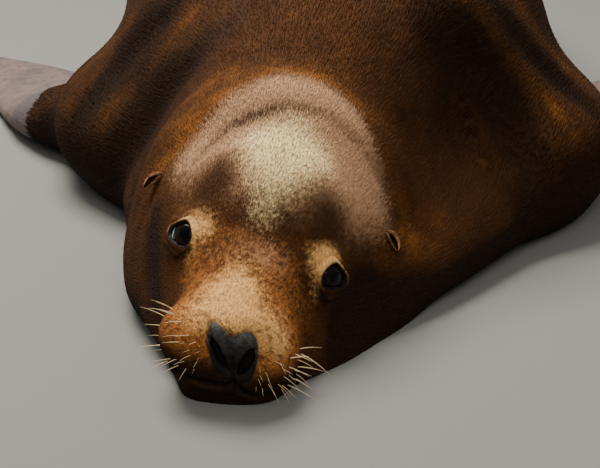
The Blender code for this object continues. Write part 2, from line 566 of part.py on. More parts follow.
for side, label in ((-1, "right"), (1, "left")):
    flip = np.array([side, 1, 1])

    # ear: a small cone, just clear of the head
    ear("ear_" + label, from_head(flip * EAR_ROOT[side]), HEAD_TURN @ (flip * EAR_LEAN))

    # forearm: rings square to X, from the flank to the wrist
    stations = spaced(FLANK[side] + GAP, WRIST[side], 7)
    shift = LIMB_SHIFT[side]
    length = (stations - SHOULDER[0] - shift[0]) / FORE_ALONG[0]
    lie = SHOULDER[1] + shift[1] + length * FORE_ALONG[1] * 0.80
    places = np.column_stack([side * stations, lie, 0.36 * curve(length, FORE_TOP)])
    found, centres = rings(whole, places, [(side, 0, 0)] * 7, 1.0, 0.4, 30)
    solid("forearm_" + label, FUR, found, centres)

    # blade: the rings fan from the wrist's plane to one square to the flipper
    count = 10
    blend = np.append(spaced(0, 1, count - 1), 1.028)
    along = np.array([side * FORE_ALONG[0], FORE_ALONG[1], 0])
    wrist = np.array([side * (WRIST[side] + GAP), lie[-1] + 0.010, 0.012])
    tip = np.array([side * (SHOULDER[0] + shift[0]), SHOULDER[1] + shift[1], 0.006])
    tip = tip + along * (FLIPPER_REACH - 0.012) + 0.068 * np.array([side * FORE_AHEAD[0], FORE_AHEAD[1], 0])
    places = wrist + (tip - wrist) * blend[:, None]
    places[:, 2] = curve(blend, [(0, 0.016), (0.3, 0.010), (1.03, 0.005)])
    square = along - np.array([side, 0, 0])
    normals = np.array([side, 0, 0]) + square * np.minimum(1.2 * blend, 1)[:, None]
    found, centres = rings(whole, places, normals, 1.0, 0.12, 28)
    solid("flipper_" + label, BARE_SKIN, found, centres)

    # hind flipper: the rings fan from the rump's plane to one square to the flipper
    blend = spaced(0, 1, 10)
    along = np.array([side * HIND_ALONG[0], HIND_ALONG[1], 0])
    ankle = np.array([side * 0.082, RUMP_BACK + GAP, 0.030])
    tip = np.array([side * ANKLE[0], ANKLE[1], 0.006]) + along * (HIND_REACH - 0.012)
    places = ankle + (tip - ankle) * blend[:, None]
    places[:, 2] = curve(blend, [(0, 0.030), (0.3, 0.016), (1, 0.006)])
    normals = np.array([0, 1.0, 0]) + (along - np.array([0, 1.0, 0])) * np.minimum(2 * blend, 1)[:, None]
    found, centres = rings(lambda p: np.maximum(whole(p), TAIL_SIDE - side * p[:, 0]), places, normals, 1.0, 0.2, 30)
    solid("hind_flipper_" + label, BARE_SKIN, found, centres)

    # claws on the three middle toes, well back from the flipper's edge
    for toe in (-1, 0, 1):
        s, u = HIND_REACH - 0.135, toe * 0.040
        across = np.array([side * HIND_ACROSS[0], HIND_ACROSS[1], 0])
        spot = np.array([side * ANKLE[0], ANKLE[1], 0]) + along * s + across * u
        steps = np.array([0.0, 0.25, 0.6, 0.9, 0.985])
        centres = spot + along * CLAW_LENGTH * steps[:, None]
        centres[:, 2] = cast(whole, centres + (0, 0, 0.001), np.array([(0, 0, 1.0)] * 5), 0.2)[:, 2] + 0.0022
        width = curve(steps, [(0, 0.0042), (0.5, 0.0036), (0.9, 0.0018), (1, 0.0008)])
        stand_off("claw_%s_%d" % (label, toe + 2), CLAW, centres, along, width, 0.55 * width, 10)
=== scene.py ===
# %% [markdown]
# # A sea lion at rest
# This lesson dresses a life-size museum model of an adult male California sea lion. The solid frame already
# exists: a stack of plain bodies in metres, nose towards -Y, the animal's left on +X, the floor at z = 0.
# We give it one seamless skin, short fur, wet eyes, ears, whiskers and claws, all worked out with numpy.

import bpy
import numpy as np
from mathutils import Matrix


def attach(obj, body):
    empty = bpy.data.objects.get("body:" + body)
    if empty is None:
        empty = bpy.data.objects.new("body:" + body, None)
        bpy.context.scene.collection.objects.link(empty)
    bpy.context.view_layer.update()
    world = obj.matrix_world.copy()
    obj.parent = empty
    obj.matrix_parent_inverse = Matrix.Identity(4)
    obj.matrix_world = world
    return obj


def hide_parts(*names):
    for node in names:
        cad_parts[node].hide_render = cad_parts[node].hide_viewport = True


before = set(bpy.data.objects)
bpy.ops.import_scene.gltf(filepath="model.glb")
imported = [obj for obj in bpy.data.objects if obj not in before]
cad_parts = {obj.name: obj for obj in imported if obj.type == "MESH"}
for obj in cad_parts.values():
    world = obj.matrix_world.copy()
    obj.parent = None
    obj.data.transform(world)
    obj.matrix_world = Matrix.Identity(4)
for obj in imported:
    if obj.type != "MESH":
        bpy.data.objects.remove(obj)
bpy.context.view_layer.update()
chance = np.random.default_rng(7)

# %% [markdown]
# ## Camera
# The animal is seen from a standing person's height a couple of steps in front of its nose. A long lens keeps
# the head from swelling against the body. The place is in metres and the angle, below level, in degrees.

# %% Camera
CAMERA_PLACE, LOOKING_DOWN = (-0.06, -2.05, 0.60), 22.0
lens = bpy.data.cameras.new("camera")
lens.lens, lens.sensor_width = 84.0, 36.0
lens.clip_start, lens.clip_end = 0.05, 60.0
camera = bpy.data.objects.new("camera", lens)
camera.location = CAMERA_PLACE
camera.rotation_euler = (np.radians(90.0 - LOOKING_DOWN), 0.0, 0.0)
bpy.context.scene.collection.objects.link(camera)
bpy.context.scene.camera = camera

# %% [markdown]
# ## Light
# Outdoors under a bright overcast sky the light comes from above and from every side. Two large soft lamps
# are enough for that: a strong one above the back makes the rims of the folds glow, a weaker one in front
# lights the face, and a pale world fills the shadows.


# %% Lamps and world
def soft_lamp(name, place, aim, size, power, tint):
    """A square area lamp at `place` that looks at `aim`."""
    lamp = bpy.data.lights.new(name, "AREA")
    lamp.size, lamp.energy, lamp.color = size, power, tint
    holder = bpy.data.objects.new(name, lamp)
    holder.location = place
    away = np.array(place, float) - np.array(aim, float)
    flat = np.hypot(away[0], away[1])
    holder.rotation_euler = (np.arctan2(flat, away[2]), 0.0, np.arctan2(away[0], -away[1]))
    bpy.context.scene.collection.objects.link(holder)


soft_lamp("sky_lamp", place=(-0.75, 0.35, 2.6), aim=(-0.05, -0.55, 0.15),
          size=1.5, power=162.0, tint=(1.0, 0.96, 0.90))
soft_lamp("front_lamp", place=(0.2, -2.9, 2.2), aim=(-0.1, -0.8, 0.1),
          size=1.6, power=36.0, tint=(1.0, 0.97, 0.93))
SKY_COLOUR, SKY_STRENGTH = (0.93, 0.96, 1.0, 1.0), 0.34
world = bpy.data.worlds.new("overcast")
world.use_nodes = True
world.node_tree.nodes["Background"].inputs["Color"].default_value = SKY_COLOUR
world.node_tree.nodes["Background"].inputs["Strength"].default_value = SKY_STRENGTH
bpy.context.scene.world = world

# %% [markdown]
# ## Numbers along a length
# A limb or a trunk is told by a few stations: at this distance it is so wide and so high. Between stations a
# cubic runs smoothly, and its slopes are chosen so that it never overshoots, which would show as a bulge.


# %% Station curves
def curve(t, knots):
    """Cubic through (position, value) knots, with harmonic-mean slopes, so that it never overshoots them."""
    knots = np.array(knots, float)
    x, y = knots[:, 0], knots[:, 1]
    step = np.diff(x)
    slope = np.diff(y) / step
    tangent = np.zeros(len(x))
    same = slope[:-1] * slope[1:] > 0
    w1, w2 = 2 * step[1:] + step[:-1], step[1:] + 2 * step[:-1]
    mean = w1 / np.where(same, slope[:-1], 1) + w2 / np.where(same, slope[1:], 1)
    tangent[1:-1] = np.where(same, (w1 + w2) / mean, 0)
    tangent[0], tangent[-1] = slope[0], slope[-1]
    t = np.clip(t, x[0], x[-1])
    i = np.clip(np.searchsorted(x, t, side="right") - 1, 0, len(step) - 1)
    s = (t - x[i]) / step[i]
    start = (1 + 2 * s) * (1 - s) ** 2 * y[i] + s * (1 - s) ** 2 * step[i] * tangent[i]
    finish = s * s * (3 - 2 * s) * y[i + 1] + s * s * (s - 1) * step[i] * tangent[i + 1]
    return start + finish


def fade(t, low, high):
    """0 below `low`, 1 above `high`, and a smooth S between; turned round if high is the smaller."""
    s = np.clip((t - low) / (high - low), 0, 1)
    return s * s * (3 - 2 * s)


# %% [markdown]
# ## Distances instead of faces
# Flesh has no edges, so it is awkward to build from faces. We describe it by a distance: negative inside,
# zero on the surface, positive outside. Two such shapes join with a soft union, the way muscle runs into
# muscle, and the mesh is only made once, at the end, from the finished distance.


# %% Distance shapes
def union(a, b, soft):
    """The nearer of two surfaces, less a parabola where they come within `soft` of each other."""
    h = np.maximum(soft - np.abs(a - b), 0) / soft
    return np.minimum(a, b) - h * h * soft / 4


def common(a, b, soft):
    """The part that two shapes share, with a softened edge."""
    return -union(-a, -b, soft)


def section(x, z, half, top, bottom, level, n_up, n_low, end=0.0, end_reach=1.0):
    """Distance to the superellipse |x/half|^n + |z/reach|^n + end^n = 1: its value divided by its slope.

    From `level` it reaches up to `top` with the power n_up and down to `bottom` with n_low; a larger power is
    squarer. `end` grows from 0 to 1 over the length end_reach, where the shape is rounded off.
    """
    reach = np.where(z > level, top - level, level - bottom)
    n = n_low + (n_up - n_low) * fade((z - level) / (top - bottom), -0.2, 0.2)
    u = np.abs(x) / half + 1e-6
    v = np.abs(z - level) / reach + 1e-6
    w = end + 1e-9
    s = u ** n + v ** n + w ** n
    pull = (u ** (n - 1) / half) ** 2 + (v ** (n - 1) / reach) ** 2 + (w ** (n - 1) / end_reach) ** 2
    return (s ** (1 / n) - 1) / (np.sqrt(pull) * s ** (1 / n - 1))


def ellipsoid(p, centre, radii, turn=None):
    """|q/r| (|q/r| - 1) / |q/r^2|, which is close to the distance near the surface."""
    q = p - np.array(centre)
    if turn is not None:
        q = q @ turn
    radii = np.array(radii)
    k0 = np.linalg.norm(q / radii, axis=1)
    k1 = np.linalg.norm(q / (radii * radii), axis=1) + 1e-9
    return k0 * (k0 - 1) / k1


def cone(p, a, b, r_a, r_b):
    """Distance to the segment a-b, less a radius that runs from r_a to r_b."""
    a, b = np.array(a, float), np.array(b, float)
    along = b - a
    t = np.clip(((p - a) @ along) / (along @ along), 0, 1)
    return np.linalg.norm(p - a - t[:, None] * along, axis=1) - (r_a + (r_b - r_a) * t)


def from_line(p, points):
    """Distance to a bent line, and the share of the way along it."""
    points = np.array(points, float)
    best, share = np.full(len(p), 1e9), np.zeros(len(p))
    for i in range(len(points) - 1):
        along = points[i + 1] - points[i]
        t = np.clip(((p - points[i]) @ along) / (along @ along), 0, 1)
        d = np.linalg.norm(p - points[i] - t[:, None] * along, axis=1)
        share = np.where(d < best, (i + t) / (len(points) - 1), share)
        best = np.minimum(best, d)
    return best, share


def groove(p, points, wide, deep):
    """How far a crease along a bent line presses the surface in: a bell across it, tapered at both ends."""
    d, share = from_line(p, points)
    return deep * np.exp(-(d / wide) ** 2) * fade(share, 0.0, 0.25) * fade(share, 1.0, 0.75)


def turned(axis, degrees):
    """Rotation matrix about the x, y or z axis."""
    c, s = np.cos(np.radians(degrees)), np.sin(np.radians(degrees))
    return np.array({"x": [[1, 0, 0], [0, c, -s], [0, s, c]], "y": [[c, 0, s], [0, 1, 0], [-s, 0, c]],
                     "z": [[c, -s, 0], [s, c, 0], [0, 0, 1]]}[axis])


def unit(v):
    """Vectors divided by their own length."""
    v = np.asarray(v, float)
    return v / (np.linalg.norm(v, axis=-1, keepdims=True) + 1e-12)


# %% [markdown]
# ## The head
# The head has its own frame: the origin lies between the eyes, -y runs to the nose and +z to the crown. A
# male sea lion has a high crest of bone over the eyes, a short broad muzzle with two swollen whisker pads,
# and heavy cheeks that here spread on the floor. The left cheek is the lower one, as the head leans over.

# %% Head frame and eyes
HEAD_PLACE = np.array([-0.0988, -0.8593, 0.0994])
HEAD_TURN = turned("z", -5.4) @ turned("x", 0.1) @ turned("y", 15.0)
EYE_RADIUS = 0.0205
GAZE = unit([0.66, -0.66, 0.36])
EYE_CENTRE = np.array([0.0745, 0, -0.0016]) - (EYE_RADIUS - 0.0012) * GAZE
EYE_UP = unit(np.array([0, 0, 1.0]) - GAZE * GAZE[2])
EYE_OUT = np.cross(GAZE, EYE_UP)


def to_head(p):
    """World places in the head's frame: less the head's place, then turned back."""
    return (p - HEAD_PLACE) @ HEAD_TURN


def from_head(q):
    """The way back, from the head's frame to the world."""
    return np.asarray(q, float) @ HEAD_TURN.T + HEAD_PLACE


print("eyes at", from_head(EYE_CENTRE).round(3), from_head(EYE_CENTRE * (-1, 1, 1)).round(3))

# %% Head masses
HEAD_TOP = [(-0.116, -0.026), (-0.108, -0.016), (-0.098, -0.010), (-0.065, 0.000), (-0.045, 0.006),
            (-0.020, 0.016), (0.000, 0.028), (0.030, 0.051), (0.060, 0.069), (0.085, 0.076), (0.150, 0.074)]
HEAD_BOTTOM = [(-0.116, -0.084), (-0.104, -0.098), (-0.085, -0.108), (0.220, -0.115)]
HEAD_HALF = [(-0.116, 0.030), (-0.098, 0.039), (-0.080, 0.046), (-0.045, 0.055),
             (-0.020, 0.063), (0.000, 0.074), (0.030, 0.091), (0.060, 0.103), (0.090, 0.110), (0.150, 0.117)]
CHEEK_HALF = [(-0.110, 0.028), (-0.085, 0.042), (-0.050, 0.069), (0.000, 0.107), (0.050, 0.130),
              (0.150, 0.152)]
CHEEK_TOP = [(-0.110, -0.066), (-0.070, -0.052), (0.000, -0.034), (0.040, -0.014), (0.080, 0.004),
             (0.150, 0.010)]
CHEEK_MIDDLE = [(-0.110, 0.004), (-0.050, 0.015), (0.000, 0.018), (0.060, 0.021), (0.150, 0.032)]
HEAD_LEVEL = [(-0.116, -0.042), (-0.095, -0.048), (-0.045, -0.045), (0.050, -0.035), (0.220, -0.030)]
HEAD_BACK, MUZZLE_END, MUZZLE_ROUND = 0.12, -0.090, 0.031
CREST = (0, 0.064, 0.034), (0.054, 0.056, 0.050)
WHISKER_PAD = (0.030, -0.086, -0.055), (0.028, 0.031, 0.025)
CHIN = (0.010, -0.074, -0.090), (0.031, 0.031, 0.020)


def both_sides(q):
    """The right half of the face laid over the left one, so that one shape serves both."""
    return np.column_stack([np.abs(q[:, 0]), q[:, 1], q[:, 2]])


def head_mass(q):
    """Skull, crest, cheeks, whisker pads and chin, softly joined, before eyes, nose and mouth."""
    x, y, z = q.T
    receding = y + 0.20 * (z + 0.035)
    along = np.maximum(receding, MUZZLE_END)
    front = np.maximum(MUZZLE_END - receding, 0) / MUZZLE_ROUND
    half, top, bottom = curve(along, HEAD_HALF), curve(along, HEAD_TOP), curve(along, HEAD_BOTTOM)
    f = section(x, z, half, top, bottom, curve(along, HEAD_LEVEL), 2.15, 2.3, front, MUZZLE_ROUND)
    f = common(f, y - HEAD_BACK, 0.05)
    f = union(f, ellipsoid(q, *CREST), 0.030)
    across = x - curve(y, CHEEK_MIDDLE)
    back = np.maximum(y - HEAD_BACK, 0) / 0.07
    cheek_half, cheek_top = curve(y, CHEEK_HALF), curve(y, CHEEK_TOP)
    cheeks = section(across, z, cheek_half, cheek_top, -0.118, -0.088, 2.0, 3.0, back, 0.07)
    f = union(f, common(cheeks, -0.098 - y, 0.02), 0.046)
    wider_right = np.column_stack([np.where(x < 0, -0.88 * x, x), y, z])
    f = union(f, ellipsoid(wider_right, *WHISKER_PAD), 0.026)
    return union(f, ellipsoid(q, *CHIN), 0.012)


# %% [markdown]
# ### Lids, nose and mouth
# The lids stand a little outside the eyeball. Cutting a cone out of them, down to just below the ball's
# surface, leaves their rim standing round the wet ball, which plugs the pit. Rings of shallow grooves round
# the opening are the folds of the lids. The nose pad is a swelling with two slit nostrils and a groove
# that runs down to the lip, and the mouth is a long crease under the pads.

# %% Eye openings
OPEN_WIDE, OPEN_HIGH = 0.61, 0.53
LID = 0.0017
LOWER_LID_CREASE = [(0.058, -0.016, -0.003), (0.066, -0.014, -0.018), (0.076, -0.006, -0.031)]


def eye_places(q):
    """Distance from the eyeball's centre, how far outside the lids' opening, and the way out and up.

    The opening is a superellipse of the direction, peaked above, flat below, with its inner corner lower.
    """
    v = both_sides(q) - EYE_CENTRE
    r = np.linalg.norm(v, axis=1) + 1e-9
    out, up = (v @ EYE_OUT) / r, (v @ EYE_UP) / r
    ahead = v @ GAZE > 0
    corner = fade(-out / OPEN_WIDE, 0.0, 1.1)
    high = (up / OPEN_HIGH + 0.30 * corner) * (1 + 0.45 * corner + 0.25 * fade(up, 0.0, -0.3))
    n = 1.75 + 1.1 * fade(high, 0.3, -0.5)
    edge = (np.abs(out / OPEN_WIDE) ** n + np.abs(high) ** n + 1e-6) ** (1 / n) - 1
    return r, np.where(ahead, edge, 3.0), out, up


def mound(f, q):
    """The swelling of the lids and the socket round each eyeball."""
    ball = np.linalg.norm(both_sides(q) - (EYE_CENTRE - 0.0070 * GAZE), axis=1) - (EYE_RADIUS + 0.0034)
    return union(f, ball, 0.022)


def with_lids(f, q):
    """Thin lids over the ball, creased rings round them, and an opening cut through to the ball."""
    r, edge, _, up = eye_places(q)
    beyond = edge * EYE_RADIUS * OPEN_WIDE
    lids = common(r - EYE_RADIUS - LID, 0.0002 - beyond, 0.0018)
    f = union(f, lids, 0.010)
    near = fade(np.abs(r - EYE_RADIUS), 0.016, 0.004)
    # One fold above the opening, a weaker one below it, and a wide one all round.
    folds = 0.0012 * np.exp(-((edge - 0.46) / 0.10) ** 2) * fade(up, -0.4, 0.2)
    folds = folds + 0.0006 * np.exp(-((edge - 0.50) / 0.12) ** 2) * fade(up, 0.1, -0.3)
    folds = folds + 0.0008 * np.exp(-((edge - 1.00) / 0.15) ** 2)
    f = f + folds * near
    f = f + groove(both_sides(q), LOWER_LID_CREASE, 0.0026, 0.0020)
    opening = common(beyond, EYE_RADIUS - 0.0016 - r, 0.0008)
    return common(f, -opening, 0.0022)


# %% Nose and mouth
PAD_HALF = [(-0.030, 0.008), (-0.024, 0.0150), (-0.012, 0.0198), (0.004, 0.0225), (0.014, 0.0205),
            (0.022, 0.012)]
PAD_SWELLING = (0, -0.1085, -0.0385), (0.0215, 0.0175, 0.0220)
NOSE_WING = (0.0125, -0.1095, -0.0300), (0.0105, 0.0150, 0.0110)
NOSTRIL_PATH = [(0.0050, -0.0215, 0), (0.0085, -0.0150, 0), (0.0122, -0.0080, 0), (0.0155, -0.0010, 0),
                (0.0178, 0.0050, 0)]
NOSTRIL_HALF = [(0, 0.0010), (0.25, 0.0034), (0.6, 0.0046), (0.85, 0.0036), (1, 0.0010)]
LIP_LINE = [(-0.125, -0.0800), (-0.100, -0.0815), (-0.070, -0.084), (-0.030, -0.080), (0.0, -0.074)]


def nose_places(q):
    """Across and up the nose pad, whose foot leans to the animal's left."""
    across = q[:, 0] + 0.27 * (q[:, 2] + 0.030)
    return across, q[:, 2] + 0.040


def pad_edge(q):
    """About how far a point is outside the nose pad's outline, in metres."""
    across, up = nose_places(q)
    notch = 0.0072 * np.exp(-(across / 0.0078) ** 2)
    side = np.abs(across) - curve(up, PAD_HALF)
    top = up - (0.0195 - notch - 0.05 * np.abs(across))
    return np.maximum(np.maximum(side, top), -0.031 - up)


def nose_pad(f, q):
    """The swelling of the bare pad, fuller at the two wings over the nostrils."""
    upright = np.column_stack([nose_places(q)[0], q[:, 1], q[:, 2]])
    f = union(f, ellipsoid(upright, *PAD_SWELLING), 0.006)
    return union(f, ellipsoid(both_sides(upright), *NOSE_WING), 0.005)


def nostril_edge(q):
    """How far outside the nearer slit a point of the nose pad is: distance to a bent line less its width."""
    across, up = nose_places(q)
    d, share = from_line(np.column_stack([np.abs(across), up, 0 * up]), NOSTRIL_PATH)
    return d - curve(share, NOSTRIL_HALF)


def with_nostrils(f, q):
    """Two slits that lean apart upwards, the rim of the pad, and the groove down to the lip."""
    across, up = nose_places(q)
    front = fade(q[:, 1], -0.088, -0.102)
    f = f + 0.0014 * np.exp(-((pad_edge(q) - 0.0006) / 0.0019) ** 2) * front
    slit = common(nostril_edge(q), q[:, 1] + 0.112 + 0.1 * np.abs(across), 0.002)
    f = common(f, -slit, 0.0034)
    middle = np.exp(-(across / 0.0019) ** 2) * fade(up, 0.012, -0.006) * fade(up, -0.050, -0.036)
    return f + 0.0026 * middle * front


def with_mouth(f, q):
    """A crease that runs round the muzzle under the whisker pads and rises a little towards the cheeks."""
    x, y, z = q.T
    line = curve(y, LIP_LINE)
    line = line + 0.006 * np.exp(-((x - 0.012) / 0.010) ** 2) * fade(y, -0.080, -0.105)
    deep = 0.0042 * fade(y, 0.000, -0.040)
    lip = np.exp(-((z - line) / 0.0026) ** 2)
    under = np.exp(-((z - line + 0.007) / 0.004) ** 2)
    return f + deep * lip - 0.0016 * under * fade(y, -0.060, -0.090)


# %% [markdown]
# ## The body
# Neck, chest, trunk and rump are one swept mass, and the blubber of the neck and chest spreads as a second,
# lower one. A ring of skin rolls up behind the crest, because the head is drawn back. The foreflippers reach
# out and back, furred to the wrist and bare beyond it, and the hind flippers trail with their toes spread.

# %% Body stations
BODY_MIDDLE = [(-0.95, -0.110), (-0.80, -0.094), (-0.72, -0.084), (-0.65, -0.064), (-0.57, -0.036),
               (-0.50, -0.016), (-0.40, -0.014), (-0.20, -0.018), (0.10, -0.018), (0.60, 0.0), (1.20, 0.0)]
BODY_HALF = [(-0.86, 0.095), (-0.80, 0.112), (-0.72, 0.128), (-0.65, 0.152), (-0.57, 0.194), (-0.50, 0.236),
             (-0.40, 0.266), (-0.10, 0.278), (0.10, 0.285), (0.30, 0.274), (0.50, 0.242), (0.70, 0.192),
             (0.85, 0.146), (0.95, 0.114), (1.05, 0.080), (1.12, 0.040)]
BODY_TOP = [(-0.86, 0.140), (-0.80, 0.165), (-0.72, 0.205), (-0.66, 0.240), (-0.60, 0.275), (-0.50, 0.325),
            (-0.40, 0.362), (-0.20, 0.405), (0.00, 0.418), (0.20, 0.405), (0.40, 0.365), (0.60, 0.300),
            (0.80, 0.218), (0.95, 0.158), (1.05, 0.115), (1.12, 0.080)]
BODY_LEVEL = [(-0.86, 0.30), (-0.20, 0.36), (1.12, 0.37)]
BODY_FRONT, BODY_REAR, SPREAD_REAR, BODY_ROUND = -0.76, 1.0, -0.30, 0.09
SPREAD_MIDDLE = [(-0.95, -0.100), (-0.80, -0.078), (-0.72, -0.056), (-0.65, -0.034), (-0.57, -0.012),
                 (-0.50, -0.010), (-0.20, -0.018)]
SPREAD_HALF = [(-0.86, 0.102), (-0.80, 0.134), (-0.72, 0.177), (-0.65, 0.210), (-0.57, 0.250), (-0.50, 0.268),
               (-0.40, 0.262), (-0.25, 0.220)]
SPREAD_TOP = [(-0.86, 0.080), (-0.72, 0.105), (-0.57, 0.150), (-0.45, 0.170), (-0.25, 0.130)]


def behind_nape(q):
    """How far a point lies behind the plane of the nape's fold, which leans back towards its top."""
    return q[:, 1] - 0.152 - 0.10 * (q[:, 2] - 0.10)


def nape(q):
    """The fold of skin behind the head: a ring about the head's long axis."""
    return np.hypot(np.hypot(q[:, 0], q[:, 2] + 0.010) - 0.105, 0.8 * behind_nape(q)) - 0.031


def body(p):
    """Trunk and floor spread, each a superellipse section swept along y."""
    x, y, z = p.T
    top, low_top = curve(y, BODY_TOP), curve(y, SPREAD_TOP)
    front = np.maximum(BODY_FRONT - y, 0) / 0.08
    rear = np.maximum(y - BODY_REAR, 0) / BODY_ROUND
    across = x - curve(y, BODY_MIDDLE)
    level = curve(y, BODY_LEVEL) * top
    end = np.where(y < 0, front, rear)
    trunk = section(across, z, curve(y, BODY_HALF), top, -0.008, level, 2.1, 2.7, end, BODY_ROUND)
    across = x - curve(y, SPREAD_MIDDLE)
    end = front + np.maximum(y - SPREAD_REAR, 0) / BODY_ROUND
    half, low_level = curve(y, SPREAD_HALF), 0.30 * low_top
    spread = section(across, z, half, low_top, -0.008, low_level, 2.0, 3.2, end, BODY_ROUND)
    return union(trunk, spread, 0.06)


# %% Limb stations
LIMB_SHIFT = {-1: (0.0, 0.0), 1: (-0.045, -0.075)}
WITHERS, SHOULDER_POINT, ELBOW = (0.130, -0.46, 0.245), (0.205, -0.415, 0.155), (0.290, -0.345, 0.068)
UPPER_ARM = (0.215, -0.375, 0.075), (0.150, 0.155, 0.105)
SHOULDER = np.array([0.20, -0.42])
FORE_ALONG, FORE_AHEAD = np.array([0.51, 0.86]), np.array([0.86, -0.51])
FORE_REACH, FINGERS = 0.82, 5
FORE_LEAD = [(0.00, 0.050), (0.10, 0.070), (0.17, 0.097), (0.22, 0.113), (0.28, 0.118), (0.36, 0.108),
             (0.42, 0.099), (0.65, 0.098), (0.72, 0.098), (0.78, 0.088), (0.82, 0.070)]
FORE_TRAIL = [(0.00, -0.100), (0.20, -0.120), (0.32, -0.110), (0.45, -0.095), (0.58, -0.067), (0.64, -0.040),
              (0.70, -0.008), (0.76, 0.028), (0.82, 0.060)]
FORE_TOP = [(0.00, 0.200), (0.10, 0.150), (0.20, 0.108), (0.28, 0.078), (0.33, 0.060), (0.38, 0.040),
            (0.45, 0.028), (0.60, 0.022), (0.75, 0.016), (0.82, 0.012)]
ANKLE = np.array([0.060, 0.970])
HIND_ALONG, HIND_ACROSS = np.array([0.342, 0.940]), np.array([0.940, -0.342])
HIND_REACH, TOES = 0.41, 5
HIND_HALF = [(0.00, 0.058), (0.08, 0.058), (0.16, 0.066), (0.28, 0.086), (0.36, 0.094), (0.42, 0.088)]
HIND_TOP = [(0.00, 0.100), (0.08, 0.070), (0.16, 0.045), (0.28, 0.026), (0.36, 0.018), (0.42, 0.012)]


def limb_frame(p, side):
    """World places mirrored and moved, so that one description of a foreflipper serves both sides."""
    dx, dy = LIMB_SHIFT[side]
    return np.column_stack([side * p[:, 0] - dx, p[:, 1] - dy, p[:, 2]])


def shoulder(p, side):
    """The upper arm's ellipsoid, joined with a ridge of two cones from the withers down to the forearm."""
    m = limb_frame(p, side)
    upper_arm = ellipsoid(m, *UPPER_ARM, turned("z", -25))
    ridge = cone(m, WITHERS, SHOULDER_POINT, 0.050, 0.045)
    lower = cone(m, SHOULDER_POINT, ELBOW, 0.045, 0.050)
    return union(upper_arm, union(ridge, lower, 0.03), 0.04)


def fore_places(p, side):
    """Metres from the shoulder along a foreflipper, and across it towards its leading edge."""
    m = limb_frame(p, side)[:, :2] - SHOULDER
    return m @ FORE_ALONG, m @ FORE_AHEAD


def foreflipper(p, side):
    """A flat blade with five low finger ridges that fan from the wrist."""
    s, u = fore_places(p, side)
    lead, trail, top = curve(s, FORE_LEAD), curve(s, FORE_TRAIL), curve(s, FORE_TOP)
    fan = np.clip((lead - u) / (lead - trail), 0, 1) ** 1.25
    finger = np.cos(2 * np.pi * (FINGERS - 0.5) * fan)
    top = top * (1 - 0.10 * (1 - finger) / 2 * fade(s, 0.34, 0.48))
    root = np.maximum(0.02 - s, 0) / 0.12
    tip = np.maximum(s - (FORE_REACH - 0.03), 0) / 0.035
    end = np.where(s < 0.4, root, tip)
    across, half = u - (lead + trail) / 2, (lead - trail) / 2
    return section(across, p[:, 2], half, top, -0.004, 0.36 * top, 2.2, 2.6, end, 0.05)


def hind_places(p):
    """Metres from the ankle along a hind flipper, and across it."""
    m = np.column_stack([np.abs(p[:, 0]), p[:, 1]]) - ANKLE
    return m @ HIND_ALONG, m @ HIND_ACROSS


def hind_flipper(p):
    """Five toes: the height dips between them and each toe ends a little further out."""
    s, u = hind_places(p)
    half, top = curve(s, HIND_HALF), curve(s, HIND_TOP)
    spread = np.clip((s - 0.10) / 0.25, 0, 1)
    toe = np.cos(2 * np.pi * TOES * (u / half + 1) / 2)
    top = top * (1 - 0.38 * spread * (1 + toe) / 2)
    reach = HIND_REACH - 0.04 + spread * (0.022 * (u / half) ** 2 - 0.012 * toe)
    heel, tip = np.maximum(-s, 0) / 0.05, np.maximum(s - reach, 0) / 0.03
    return section(u, p[:, 2], half, top, -0.003, 0.36 * top, 2.2, 2.4, np.where(s < 0.2, heel, tip), 0.03)


MARGIN = 0.08


def close_to(p, centre, reach, shape, *told):
    """shape(p, *told) inside a ball about centre, and a plain larger distance beyond it, which saves work."""
    far = np.linalg.norm(p - np.array(centre), axis=1) - reach + MARGIN
    near = far < MARGIN
    far[near] = shape(p[near], *told)
    return far


# %% [markdown]
# ### Folds of the neck and the shoulders
# Loose skin creases where the neck is compressed, and sinks in long hollows beside the ridges that run to the
# foreflippers. Each fold is a bent line with a width and a depth, and presses a bell-shaped groove into the
# distance, so the fur follows it as well as the skin. The neck's lines are told in the head's frame.

# %% Folds
CROWN_CREASE = [(-0.083, 0.067, 0.046), (-0.061, 0.097, 0.079), (-0.010, 0.114, 0.108), (0.030, 0.117, 0.109),
                (0.068, 0.112, 0.090), (0.101, 0.102, 0.057)]
NECK_FOLDS = [
    (CROWN_CREASE, 0.0060, 0.0016),
    ([(-0.116, 0.085, 0.000), (-0.124, 0.070, -0.030), (-0.122, 0.052, -0.062), (-0.112, 0.030, -0.090)],
     0.0070, 0.0042),
    ([(-0.125, 0.105, -0.020), (-0.140, 0.085, -0.055), (-0.138, 0.065, -0.090)], 0.0075, 0.0030),
    ([(0.116, 0.104, 0.050), (0.131, 0.100, 0.018), (0.150, 0.092, -0.008), (0.172, 0.084, -0.040)],
     0.0085, 0.0040),
    ([(0.121, 0.128, 0.060), (0.146, 0.122, 0.022), (0.170, 0.114, -0.010), (0.196, 0.104, -0.040)],
     0.0090, 0.0036),
    ([(0.120, 0.152, 0.078), (0.152, 0.150, 0.034), (0.182, 0.142, -0.004), (0.212, 0.132, -0.040)],
     0.0095, 0.0030),
    ([(0.105, 0.078, 0.020), (0.116, 0.072, -0.010), (0.128, 0.060, -0.040)], 0.0080, 0.0020),
    ([(-0.060, 0.146, 0.120), (0.000, 0.156, 0.140), (0.060, 0.146, 0.118)], 0.0060, 0.0012),
    ([(-0.070, 0.186, 0.112), (0.000, 0.196, 0.132), (0.066, 0.186, 0.112)], 0.0090, 0.0016),
]
